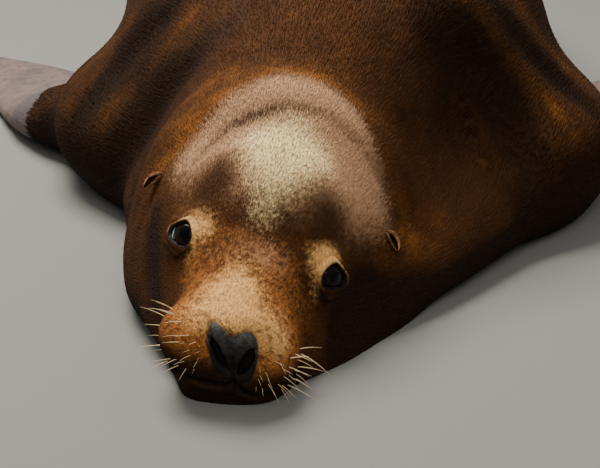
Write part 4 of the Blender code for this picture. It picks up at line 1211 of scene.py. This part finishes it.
# %% Finishes
class Finish:
    """A material with one Principled shader, and short ways to feed it."""

    def __init__(self, name, **even):
        """What is the same all over goes straight on the shader's sockets: Base_Color is Base Color."""
        self.material = bpy.data.materials.new(name)
        self.material.use_nodes = True
        self.tree = self.material.node_tree
        self.shader = self.tree.nodes["Principled BSDF"]
        for label, value in even.items():
            self.feed(label.replace("_", " "), value)

    def feed(self, label, value):
        """A wire or a value for one of the shader's own sockets."""
        plug(self.tree, value, self.shader.inputs[label])

    def node(self, kind, settings=None, inputs=None, out=0):
        """Any node: its settings first, then values or wires by socket name or number."""
        made = self.tree.nodes.new(kind)
        for label, value in (settings or {}).items():
            setattr(made, label, value)
        for label, value in (inputs or {}).items():
            plug(self.tree, value, made.inputs[label])
        return Wire(made.outputs[out])

    def marks(self, label):
        """The three numbers of a corner mark."""
        vector = self.node("ShaderNodeAttribute", {"attribute_name": label}, out=1)
        split = self.tree.nodes.new("ShaderNodeSeparateXYZ")
        self.tree.links.new(vector.socket, split.inputs[0])
        return [Wire(socket) for socket in split.outputs]

    def place(self, scale=(1.0, 1.0, 1.0)):
        """The piece's own coordinates in metres, stretched along each axis."""
        where = self.node("ShaderNodeTexCoord", out=3)
        return self.node("ShaderNodeVectorMath", {"operation": "MULTIPLY"}, {0: where, 1: scale})

    def noise(self, scale, detail=3.0, rough=0.55, place=None):
        """Cloudy noise from 0 to 1, so many cells to a metre, or to a unit of another place."""
        inputs = {"Vector": place or self.place(), "Scale": scale, "Detail": detail, "Roughness": rough}
        return self.node("ShaderNodeTexNoise", {}, inputs)

    def step(self, wire, low, high):
        """0 below low, 1 above high, a smooth S between."""
        settings = {"interpolation_type": "SMOOTHSTEP"}
        return self.node("ShaderNodeMapRange", settings, {0: wire, 1: low, 2: high, 3: 0.0, 4: 1.0})

    def mix(self, share, a, b):
        """Colour a where share is 0, colour b where it is 1."""
        return self.node("ShaderNodeMix", {"data_type": "RGBA"}, {0: share, 6: a, 7: b}, 2)

    def bump(self, height, strength=1.0):
        """Tilt the surface by a height in metres."""
        inputs = {"Strength": strength, "Distance": 1.0, "Height": height}
        self.feed("Normal", self.node("ShaderNodeBump", {}, inputs))


# %% [markdown]
# ## The coat's finish
# One finish serves the skin and the hair on it. It reads the nine shares of the markings and breaks them with
# noise in three sizes: blotches as wide as a hand, mottling of a thumb's width, and grain of single locks.
# Dark strands drawn out along the body, and a few flecks, break what would be smooth tones into hairs.

# %% Coat finish
CHOCOLATE, UMBER, BLEACHED_AND_LIT = (0.019, 0.0078, 0.0030), (0.065, 0.0225, 0.0050), (0.27, 0.095, 0.016)
GREY_TAN, GOLD, RUST = (0.48, 0.27, 0.145), (0.86, 0.46, 0.155), (0.42, 0.150, 0.034)
CREAM, DARK = (1.0, 0.76, 0.37), (0.015, 0.0082, 0.0052)
ROOT_BROWN, STRAND_BROWN, FLECK_TAN = (0.085, 0.026, 0.009), (0.045, 0.020, 0.008), (0.30, 0.15, 0.06)
PINK_GREY, SLATE = (0.20, 0.138, 0.118), (0.105, 0.088, 0.084)
NOSE_BLACK, NOSE_GREY, WET_BLACK = (0.024, 0.021, 0.020), (0.085, 0.075, 0.065), (0.010, 0.007, 0.006)


def coat_finish(name):
    """Brown by bleaching with painted light and shade, then each marking over it, then bare hide, nose and
    wetness.
    """
    fur = Finish(name, Roughness=0.70, Specular_IOR_Level=0.06)
    sun, grey, gold = fur.marks("sun_grey_gold")
    rust, pale, dark = fur.marks("rust_pale_dark")
    bare, nose, wet = fur.marks("bare_nose_wet")
    along, shade, _ = fur.marks("along_shade_strand")
    blotch = fur.noise(7.0, 4.0, 0.6) - 0.5
    mottle = fur.noise(34.0, 4.0, 0.6) - 0.5
    grain = fur.noise(230.0, 3.0, 0.6) - 0.5

    # The brown ground, by how bleached it is and its painted light and shade, each tuft a little lighter or
    # darker.
    tone = sun + blotch * 0.8 + mottle * 0.7 + grain * 0.40 + (shade - 0.5) * 0.16 + (along - 0.4) * 0.06
    colour = fur.mix(fur.step(tone, 0.05, 0.55), CHOCOLATE, UMBER)
    colour = fur.mix(fur.step(tone, 0.52, 1.10), colour, BLEACHED_AND_LIT)
    broken = grain * 0.9 + mottle * 0.6 + (shade - 0.5) * 0.25

    def patch(share, ragged, low, high):
        """A share with a ragged border: noise moves it, and a smooth step sharpens it."""
        return fur.step(share + broken * ragged * fur.step(share, 0.0, 0.35), low, high)

    # The markings over it, the dark one with its painted shade, and dark spots at the roots of the whiskers.
    colour = fur.mix(patch(rust, 1.2, 0.12, 0.90), colour, RUST)
    root_spots = fur.step(fur.noise(170.0, 2.0, 0.5), 0.52, 0.64) * fur.step(rust, 0.25, 0.75)
    colour = fur.mix(patch(grey, 0.8, 0.05, 1.00), colour, GREY_TAN)
    colour = fur.mix(patch(gold, 1.1, 0.10, 1.00), colour, GOLD)
    colour = fur.mix(root_spots * (1 - gold * 0.3) * 0.72, colour, ROOT_BROWN)
    colour = fur.mix(patch(dark, 0.8, 0.10, 0.95) * 0.92, colour, DARK)
    colour = fur.mix(patch(pale, 1.0, 0.12, 0.95) * (0.62 + 0.38 * fur.step(shade, 0.0, 0.70)), colour, CREAM)

    # Strands and flecks.
    strands = fur.step(fur.noise(1.0, 2.0, 0.5, fur.place((560.0, 130.0, 560.0))), 0.46, 0.66)
    colour = fur.mix(strands * (0.32 + pale * 0.22) + (1 - shade) * 0.10, colour, STRAND_BROWN)
    fleck = fur.step(fur.noise(620.0, 2.0, 0.5), 0.75, 0.84)
    colour = fur.mix(fleck * 0.18, colour, FLECK_TAN)

    # Bare hide on the flippers, the nose pad, and all that is wet.
    crease = fur.noise(1.0, 4.0, 0.6, fur.place((150.0, 55.0, 150.0)))
    hide = fur.mix(fur.step(crease * 0.5 + mottle * 0.8 + blotch * 1.2, 0.00, 0.50), SLATE, PINK_GREY)
    hide_share = fur.step(bare + mottle * 0.5 + grain * 0.3, 0.35, 0.65)
    colour = fur.mix(hide_share, colour, hide)
    nose_skin = fur.mix(fur.step(grain + mottle, -0.2, 0.3), NOSE_BLACK, NOSE_GREY)
    colour = fur.mix(nose, colour, nose_skin)
    colour = fur.mix(wet, colour, WET_BLACK)
    fur.feed("Base Color", colour)
    fur.feed("Roughness", 0.66 - 0.22 * nose - 0.42 * wet - 0.12 * hide_share)

    # Heights in metres: hair and grain on the fur, pebbles on the nose, creases on the hide.
    pebble = fur.node("ShaderNodeTexVoronoi", {}, {"Vector": fur.place(), "Scale": 620.0})
    hair = fur.noise(1.0, 2.0, 0.5, fur.place((900.0, 170.0, 900.0)))
    height = hair * 0.0012 * (1 - nose) * (1 - hide_share) + grain * 0.0010 * (1 - nose)
    height = height + pebble * nose * 0.00045 + crease * hide_share * 0.0015
    fur.bump(height)
    return fur.material


# %% [markdown]
# ## Pieces from arrays
# Every piece goes into Blender the same way: points, triangles, a finish and a few marks per corner. Its
# object stays at the origin, because the shape already carries its place.


# %% Piece
def piece(name, points, faces, finish, stands_for=(), marks=None):
    """A smooth mesh of triangles that rides on the frame."""
    mesh = bpy.data.meshes.new(name)
    mesh.vertices.add(len(points))
    mesh.vertices.foreach_set("co", points.astype(np.float32).ravel())
    mesh.loops.add(faces.size)
    mesh.loops.foreach_set("vertex_index", faces.astype(np.int32).ravel())
    mesh.polygons.add(len(faces))
    mesh.polygons.foreach_set("loop_start", np.arange(0, faces.size, 3, dtype=np.int32))
    mesh.polygons.foreach_set("use_smooth", np.ones(len(faces), bool))
    mesh.update(calc_edges=True)
    for label, values in (marks or {}).items():
        layer = mesh.attributes.new(label, "FLOAT_VECTOR", "POINT")
        layer.data.foreach_set("vector", values.astype(np.float32).ravel())
    mesh.materials.append(finish)
    thing = bpy.data.objects.new(name, mesh)
    bpy.context.scene.collection.objects.link(thing)
    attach(thing, "root")
    if stands_for:
        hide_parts(*stands_for)
    return thing


def marked(shares, own):
    """The three triples of the markings by name, and the hair's own: how far along, its shade, its strand."""
    names = ("sun_grey_gold", "rust_pale_dark", "bare_nose_wet", "along_shade_strand")
    return dict(zip(names, (*shares, own)))


# %% Skin
flesh = [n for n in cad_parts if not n.startswith(("eye", "ear", "claw"))]
coat = coat_finish("coat")
own = np.broadcast_to([0.30, 0.50, 0.50], points.shape)
skin = piece("skin", points, faces, coat, flesh, marked(skin_marks, own))
print("skin stands for", len(flesh), "solids")

# %% [markdown]
# ## Eyes
# A sea lion's eye is a large wet ball, nearly all dark iris, with a pale bluish rim of white that shows only
# where the animal looks aside. A ball of rings about the line of sight lets the colours be told by one
# number: the angle from that line. The cornea stands out a little in the middle.


# %% Stacks of rings
def closed_tube(rings):
    """Points and triangles of a stack of equal rings, with a fan that closes each end, facing outwards."""
    m, n = rings.shape[:2]
    index = np.arange(m * n).reshape(m, n)
    low, high = index[:-1], index[1:]
    low_next, high_next = np.roll(low, -1, axis=1), np.roll(high, -1, axis=1)
    sides = [np.stack([low, low_next, high_next], -1), np.stack([low, high_next, high], -1)]
    first, last = np.full(n, m * n), np.full(n, m * n + 1)
    ends = [np.stack([first, low_next[0], low[0]], -1), np.stack([last, high[-1], high_next[-1]], -1)]
    faces = np.vstack([part.reshape(-1, 3) for part in sides + ends])
    points = np.vstack([rings.reshape(-1, 3), rings[0].mean(0), rings[-1].mean(0)])
    span = points[faces] - points.mean(0)
    if np.einsum("ij,ij->", span[:, 0], np.cross(span[:, 1], span[:, 2])) < 0:
        faces = faces[:, ::-1]
    return points, faces


# %% Eyeballs
LOOK = {-1: unit([0.40, -0.78, 0.46]), 1: unit([0.60, -0.70, 0.36])}
PUPIL, IRIS_DARK, IRIS_LIGHT = (0.001, 0.001, 0.0015), (0.004, 0.002, 0.0016), (0.018, 0.008, 0.005)
IRIS_RIM, BLUISH_WHITE, SOCKET_RED = (0.004, 0.004, 0.006), (0.42, 0.50, 0.54), (0.16, 0.09, 0.08)
EYE_RINGS, EYE_ROUND = 40, 56
eye = Finish("eye", Roughness=0.12, Specular_IOR_Level=0.05,
             Coat_Weight=0.55, Coat_Roughness=0.02, Coat_IOR=1.22)
angle, around_x, around_y = eye.marks("sight")
spokes = eye.node("ShaderNodeCombineXYZ", {}, {0: around_x * 9.0, 1: around_y * 9.0, 2: angle * 1.5})
streaks = eye.noise(1.0, 3.0, 0.6, spokes)
iris = eye.mix(eye.step(streaks, 0.35, 0.75), IRIS_DARK, IRIS_LIGHT)
colour = eye.mix(eye.step(angle, 0.24, 0.30), PUPIL, iris)
colour = eye.mix(eye.step(angle, 0.64, 0.72), colour, IRIS_RIM)
colour = eye.mix(eye.step(angle, 0.735, 0.80), colour, BLUISH_WHITE)
colour = eye.mix(eye.step(angle + streaks * 0.15, 1.05, 1.25), colour, SOCKET_RED)
eye.feed("Base Color", colour)
for side, label in ((-1, "right"), (1, "left")):
    flip = np.array([side, 1, 1])
    look = HEAD_TURN @ (flip * LOOK[side])
    aside = unit(np.cross(look, (0, 0, 1.0)))
    over = np.cross(aside, look)
    theta = np.pi * np.linspace(0.012, 0.988, EYE_RINGS)[:, None, None]
    phi = 2 * np.pi * np.arange(EYE_ROUND)[None, :, None] / EYE_ROUND
    radius = EYE_RADIUS + 0.0007 * fade(theta, 0.80, 0.0)
    ring = np.cos(theta) * look + np.sin(theta) * (np.cos(phi) * aside + np.sin(phi) * over)
    ball, ball_faces = closed_tube(from_head(EYE_CENTRE * flip) + radius * ring)
    v = unit(ball - from_head(EYE_CENTRE * flip))
    sight = np.column_stack([np.arccos(np.clip(v @ look, -1, 1)), v @ aside, v @ over])
    piece("eyeball_" + label, ball, ball_faces, eye.material, ["eye_" + label], {"sight": sight})
print("eyeballs of", len(ball_faces), "triangles")

# %% [markdown]
# ## Ears
# The ear is a small leaf rolled into a cone, open along its lower front edge. A ring of its section runs
# round the outside of the roll and back along the inside, so the leaf has a real thickness and a hollow,
# whose inside gets painted shade and a little wetness.


# %% Ears
EAR_LENGTH, EAR_LIFT = 0.0185, 0.007
EAR_ROOT = {-1: (0.1150, 0.0890, 0.0120), 1: (0.1155, 0.0800, 0.0230)}
EAR_LEAN = unit([0.25, -0.15, -0.95])
EAR_OPENING = {-1: 2.50, 1: 0.64}
EAR_HALF = [(0, 0.0046), (0.28, 0.0056), (0.64, 0.0050), (0.92, 0.0026), (1, 0.0008)]
EAR_RINGS, EAR_ROUND = 22, 15


def rolled_leaf(root, out, lean, opening):
    """Rings of a leaf along a path that leaves the head squarely and bends over, rolled nearly shut.

    The path climbs by lift times 1 - (1 - t)^2 and runs on by length times t^1.4.
    """
    along = unit(lean - out * (lean @ out))
    side = np.cross(out, along)
    t = np.linspace(0, 1, EAR_RINGS)
    climb, run = EAR_LIFT * (1 - (1 - t) ** 2) - 0.001, EAR_LENGTH * t ** 1.4
    centres = root + out * climb[:, None] + along * run[:, None]
    climbing, running = 2 * EAR_LIFT * (1 - t) + 0.001, 1.4 * EAR_LENGTH * (t + 0.01) ** 0.4
    heading = unit(out * climbing[:, None] + along * running[:, None])
    across = np.cross(side, heading)
    width = curve(t, EAR_HALF)
    thick = np.minimum(0.0016, 0.45 * width)
    turn = np.linspace(-1, 1, EAR_ROUND)[None] * np.pi * (0.97 - 0.17 * fade(t, 0.10, 0.60))[:, None]
    turn = np.concatenate([turn, turn[:, ::-1]], 1) + opening
    outside = np.arange(2 * EAR_ROUND)[None] < EAR_ROUND
    reach = np.where(outside, width[:, None], (width - thick)[:, None])
    ring = side * np.cos(turn)[..., None] + 0.85 * across[:, None] * np.sin(turn)[..., None]
    return centres[:, None] + reach[..., None] * ring


for side, label in ((-1, "right"), (1, "left")):
    flip = np.array([side, 1, 1])
    root = settle(unclipped, from_head(flip * np.array(EAR_ROOT[side]))[None], 6, 0.01)
    _, way_out = slope(unclipped, root)
    rings = rolled_leaf(root[0], way_out[0], HEAD_TURN @ (flip * EAR_LEAN), EAR_OPENING[side])
    leaf, leaf_faces = closed_tube(rings)
    inner = (np.arange(len(leaf) - 2) % (2 * EAR_ROUND) >= EAR_ROUND).astype(float)
    inner = np.append(inner, [0, 0])
    tip = np.append(np.repeat(np.linspace(0, 1, EAR_RINGS), 2 * EAR_ROUND), [0, 1])
    none = 0 * inner
    # The inside of the roll is painted dark as shade, and a little wet.
    shares = (np.column_stack([0.62 + none, 0.25 * (1 - inner), 0.55 * tip * (1 - inner)]),
              np.column_stack([none, none, 0.55 * inner]),
              np.column_stack([none, none, 0.5 * inner]))
    ear_marks = marked(shares, np.column_stack([0.5 + none, 0.5 + none, none]))
    piece("leaf_ear_" + label, leaf, leaf_faces, coat, ["ear_" + label], ear_marks)
print("ears of", len(leaf_faces), "triangles")

# %% [markdown]
# ## Whiskers
# Whiskers are stiff tapered hairs in rows on the pads, longer towards the outside. Each is a thin tube whose
# radius shrinks towards the tip along a path that droops a little, and all of them make one mesh.


# %% Whiskers
def whiskers(side, rows=5, per_row=6):
    """Roots in rows over the pad, and a length and a direction for each."""
    row, place = np.meshgrid(np.arange(rows), np.arange(per_row), indexing="ij")
    row, place = row.ravel() / (rows - 1), place.ravel() / (per_row - 1)
    row = row + chance.normal(0, 0.05, row.size)
    place = place + chance.normal(0, 0.05, row.size)
    roots = np.column_stack([0.004 + side * (0.029 + 0.031 * place),
                             -0.135 + 0.060 * place,
                             -0.040 - 0.032 * row - 0.004 * place])
    way = np.column_stack([side * (0.35 + 0.9 * place),
                           -0.70 + 0.62 * place,
                           0.30 - 0.80 * row * (1 - 0.4 * place)])
    way = unit(way + chance.normal(0, 0.22, way.shape))
    length = (0.009 + 0.016 * place) * chance.uniform(0.55, 1.3, row.size)
    return roots, way, length


def thin_tubes(roots, ways, lengths, thick, sag, count=9, around=6):
    """Stacks of rings along parabolas, root + way (length t) + sag (length t^2), one stack for each root."""
    t = np.linspace(0, 1, count)
    side = unit(np.cross(ways, (0.1, 0.2, 1.0)))
    over = np.cross(side, ways)
    run = lengths[:, None] * t
    line = roots[:, None] + ways[:, None] * run[..., None] + sag[:, None] * (run * t)[..., None]
    angle = 2 * np.pi * np.arange(around) / around
    ring = side[:, None] * np.cos(angle)[:, None] + over[:, None] * np.sin(angle)[:, None]
    radius = thick[:, None] * (1 - 0.88 * t ** 1.3)
    return line[:, :, None] + radius[:, :, None, None] * ring[:, None]


stacks = []
for side in (-1, 1):
    roots, ways, lengths = whiskers(side)
    roots = settle(skin_field, from_head(roots), 8, 0.01)
    _, way_out = slope(skin_field, roots)
    ways = unit(ways @ HEAD_TURN.T + 0.25 * way_out)
    thick = (0.00014 + 0.0150 * lengths) * chance.uniform(0.8, 1.2, len(roots))
    sag = np.array([0, 0, -0.16]) + chance.normal(0, 0.05, ways.shape)
    stacks.append(thin_tubes(roots - 0.002 * ways, ways, lengths, thick, sag))
stacks = np.concatenate(stacks)
stacks = stacks[stacks[..., 2].min((1, 2)) > 0.0008]
tubes = [closed_tube(stack) for stack in stacks]
tube_points = np.vstack([part_points for part_points, _ in tubes])
tube_faces = np.vstack([part_faces + k * len(tubes[0][0]) for k, (_, part_faces) in enumerate(tubes)])
whisker = Finish("whisker", Base_Color=(0.74, 0.54, 0.30), Roughness=0.42, Specular_IOR_Level=0.4)
piece("whiskers", tube_points, tube_faces, whisker.material)
print(len(stacks), "whiskers of", len(tube_faces), "triangles")

# %% [markdown]
# ## Claws
# The three middle toes of each hind flipper carry small dark claws. The frame's own claws have the right
# shape, so they only get a better horn.

# %% Claws
horn = Finish("horn", Roughness=0.48, Specular_IOR_Level=0.3)
band = horn.noise(1.0, 3.0, 0.5, horn.place((180.0, 420.0, 180.0)))
HORN_DARK, HORN_LIGHT = (0.022, 0.015, 0.011), (0.075, 0.052, 0.036)
horn.feed("Base Color", horn.mix(band, HORN_DARK, HORN_LIGHT))
for label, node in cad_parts.items():
    if label.startswith("claw"):
        node.data.materials.clear()
        node.data.materials.append(horn.material)
        node.data.shade_smooth()

# %% [markdown]
# ## The coat
# Sea lion fur is short and lies flat, so most of it is the fine bump on the skin. Real tufts lie over that
# and break the outline and the light: each is a thin closed wedge of ten triangles whose root is sunk in the
# skin, whose middle rises by about a millimetre at most and whose tip comes to a point. They overlap like
# shingles, are smallest on the face, and stop at the bare nose, the lids' edges and the blades.


# %% Sizes of the hair
NOSE_PLACE = (0, -0.100, -0.040)
TUFT_SPACING = [(0.00, 0.0014), (0.06, 0.0015), (0.14, 0.0019), (0.24, 0.0025), (0.45, 0.0036),
                (1.00, 0.0043), (1.60, 0.0052)]
TUFT_LENGTH = [(0.00, 0.0034), (0.06, 0.0042), (0.14, 0.0066), (0.24, 0.0088), (0.45, 0.0120),
               (0.80, 0.0135)]


def hair_size(p):
    """Spacing and length of the tufts, both growing with the distance from the nose, shorter by the eyes."""
    q = to_head(p)
    far = np.linalg.norm(q - NOSE_PLACE, axis=1)
    by_eye = fade(eye_places(q)[0], EYE_RADIUS + 0.004, EYE_RADIUS + 0.018)
    return curve(far, TUFT_SPACING), curve(far, TUFT_LENGTH) * (0.40 + 0.60 * by_eye)


# %% Roots
DRAWN_FOR_EACH, FIRST_CELL, CELL_GROWTH = 2.2, 0.0017, 1.2


def scatter(points, faces):
    """Random places on the triangles, more than are wanted, thinned so that each cell of a grid keeps one.

    The grids come in sizes that grow by a fifth, and each place uses the size nearest to its own spacing.
    """
    span = points[faces]
    area = np.linalg.norm(np.cross(span[:, 1] - span[:, 0], span[:, 2] - span[:, 0]), axis=1) / 2
    spacing, _ = hair_size(span.mean(1))
    need = np.cumsum(DRAWN_FOR_EACH * area / spacing ** 2)
    pick = np.searchsorted(need, np.arange(int(need[-1])) + chance.random(int(need[-1])))
    pick = np.minimum(pick, len(faces) - 1)
    a, b = chance.random((2, len(pick), 1))
    turn = a + b > 1
    a, b = np.where(turn, 1 - a, a), np.where(turn, 1 - b, b)
    spot = span[pick, 0] + a * (span[pick, 1] - span[pick, 0]) + b * (span[pick, 2] - span[pick, 0])
    level = np.round(np.log(spacing[pick] / FIRST_CELL) / np.log(CELL_GROWTH)).astype(int)
    cell = np.floor(spot / (FIRST_CELL * CELL_GROWTH ** level)[:, None] * 0.93).astype(int) + 4096
    key = ((level * 8192 + cell[:, 0]) * 8192 + cell[:, 1]) * 8192 + cell[:, 2]
    order = chance.permutation(len(key))
    _, first = np.unique(key[order], return_index=True)
    return spot[order[first]]


upper = points[faces][:, :, 2].max(1) > 0.004
roots = scatter(points, faces[upper])
roots = settle(skin_field, roots, 1)
base, root_out = slope(skin_field, roots)
shares = markings(roots, root_out)
r, edge = eye_places(to_head(roots))[:2]
hairy = (shares[2].max(1) < 0.45) & (roots[:, 2] > 0.003) & (np.abs(base) < 0.003)
hairy &= (edge > 0.17) | (r > EYE_RADIUS + 0.012)
roots, root_out, shares = roots[hairy], root_out[hairy], tuple(part[hairy] for part in shares)
print("tufts", len(roots))


# %% Tufts
WEDGE = np.array([(0, 2, 1), (0, 5, 2), (0, 3, 5), (2, 4, 1), (2, 5, 4), (1, 3, 0), (1, 4, 3), (3, 6, 5),
                  (5, 6, 4), (4, 6, 3)])
ALONG_WEDGE = [0, 0, 0.1, 0.5, 0.5, 0.5, 1.0]


def tufts(roots, out):
    """Seven points for each tuft: three round its sunk root, three round its middle, and the tip.

    Middle and tip are first slid onto the skin and then lifted off it, each along the skin's own direction.
    """
    count = len(roots)
    spacing, length = hair_size(roots)
    length = length * chance.uniform(0.75, 1.25, count)
    along = lie(roots, out)
    side = np.cross(out, along)
    swerve = chance.normal(0, 0.11, count)[:, None]
    along, side = unit(along + swerve * side), unit(side - swerve * along)
    middle = roots + along * (0.45 * length)[:, None]
    tip = roots + along * length[:, None] + side * (chance.normal(0, 0.07, count) * length)[:, None]
    low, middle_out = slope(skin_field, middle)
    middle = middle - middle_out * np.clip(low, -0.004, 0.004)[:, None]
    low, tip_out = slope(skin_field, tip)
    tip = tip - tip_out * np.clip(low, -0.006, 0.006)[:, None]
    scale = length / 0.015
    middle = middle + middle_out * ((0.00022 + 0.00038 * chance.random(count)) * (0.5 + 0.5 * scale))[:, None]
    tip = tip + tip_out * ((0.0001 + 0.0006 * chance.random(count) ** 2.0) * (0.35 + 0.5 * scale))[:, None]
    half = (0.21 * spacing * chance.uniform(0.7, 1.2, count))[:, None]
    back = roots - along * (0.12 * length)[:, None] - out * 0.0005
    corners = [back - side * half * 0.7, back + side * half * 0.7, back + out * 0.0006,
               middle - side * half, middle + side * half, middle + middle_out * half * 0.45, tip]
    corners = np.stack(corners, 1)
    corners[..., 2] = np.maximum(corners[..., 2], 0.0003)
    shade, strand = chance.random(count), chance.random(count)
    own = [np.broadcast_to(value, (count, 7)) for value in (ALONG_WEDGE, shade[:, None], strand[:, None])]
    return corners, np.stack(own, -1)


corners, own = tufts(roots, root_out)
span = corners[:, WEDGE]
face_out = np.cross(span[:, :, 1] - span[:, :, 0], span[:, :, 2] - span[:, :, 0])
outwards = ((span[:, :, 0] - corners.mean(1)[:, None]) * face_out).sum((1, 2))
print("tufts facing inwards", int((outwards < 0).sum()), "of", len(corners))

# %% [markdown]
# ### Sharing the coat out
# One mesh would be too heavy to carry, so the coat is cut into bands. Each band has a map on which every tuft
# is a small patch at the place of its root, on the skin unrolled: the head from its nose outwards, the trunk
# round its axis, and the limbs as seen from above.


# %% Unrolled places
def unrolled(p, kind):
    """Places between 0 and 1: by the angle from the nose, by the angle round the trunk, or from above."""
    if kind == "head":
        v = unit(to_head(p) - (0, 0.04, -0.03))
        far = np.arccos(np.clip(-v[:, 1], -1, 1)) / np.pi
        ring = np.hypot(v[:, 0], v[:, 2]) + 1e-9
        flat = np.column_stack([v[:, 0] / ring * far, v[:, 2] / ring * far])
    elif kind == "trunk":
        angle = np.arctan2(p[:, 0] - curve(p[:, 1], BODY_MIDDLE), p[:, 2] - 0.10)
        flat = np.column_stack([angle, p[:, 1] * 3.0])
    else:
        flat = p[:, :2]
    low, high = flat.min(0), flat.max(0)
    return 0.02 + 0.96 * (flat - low) / (high - low)


on_limb = np.maximum(limb_share(roots, -1), limb_share(roots, 1)) > 0.5
on_toes = toes_share(roots) > 0.5
in_head = (to_head(roots)[:, 1] < 0.124) & (roots[:, 1] < -0.64)
kind = np.where(in_head, 0, np.where(on_limb | on_toes, 2, 1))
PATCH = np.array([(-1, -1), (1, -1), (0, -1), (-1, 0), (1, 0), (0, 0), (0, 1)]) * 0.0015
BAND_TUFTS = 19500
made = 0
for code, label in enumerate(("head", "trunk", "limb")):
    own_roots = np.nonzero(kind == code)[0]
    order = own_roots[np.argsort(roots[own_roots, 1])]
    for number, part in enumerate(np.array_split(order, int(np.ceil(len(order) / BAND_TUFTS)))):
        part_points = corners[part].reshape(-1, 3)
        part_faces = (WEDGE[None] + 7 * np.arange(len(part))[:, None, None]).reshape(-1, 3)
        part_shares = tuple(np.repeat(triple[part], 7, axis=0) for triple in shares)
        part_marks = marked(part_shares, own[part].reshape(-1, 3))
        band = piece(f"coat_{label}_{number + 1}", part_points, part_faces, coat, (), part_marks)
        places = (unrolled(roots[part], label)[:, None] + PATCH).reshape(-1, 2)
        layer = band.data.uv_layers.new(name="OFBake")
        layer.uv.foreach_set("vector", places[part_faces.ravel()].astype(np.float32).ravel())
        made += len(part_faces)
        print(band.name, len(part_faces), "triangles")
print("coat of", made, "triangles")

# %% Floor
ground = bpy.data.meshes.new("floor")
ground.from_pydata([(-5, -5, 0), (5, -5, 0), (5, 5, 0), (-5, 5, 0)], [], [(0, 1, 2, 3)])
floor = bpy.data.objects.new("floor", ground)
bpy.context.scene.collection.objects.link(floor)
FLOOR_GREY = (0.200, 0.194, 0.172)
ground.materials.append(Finish("pale_floor", Base_Color=FLOOR_GREY, Roughness=0.9).material)
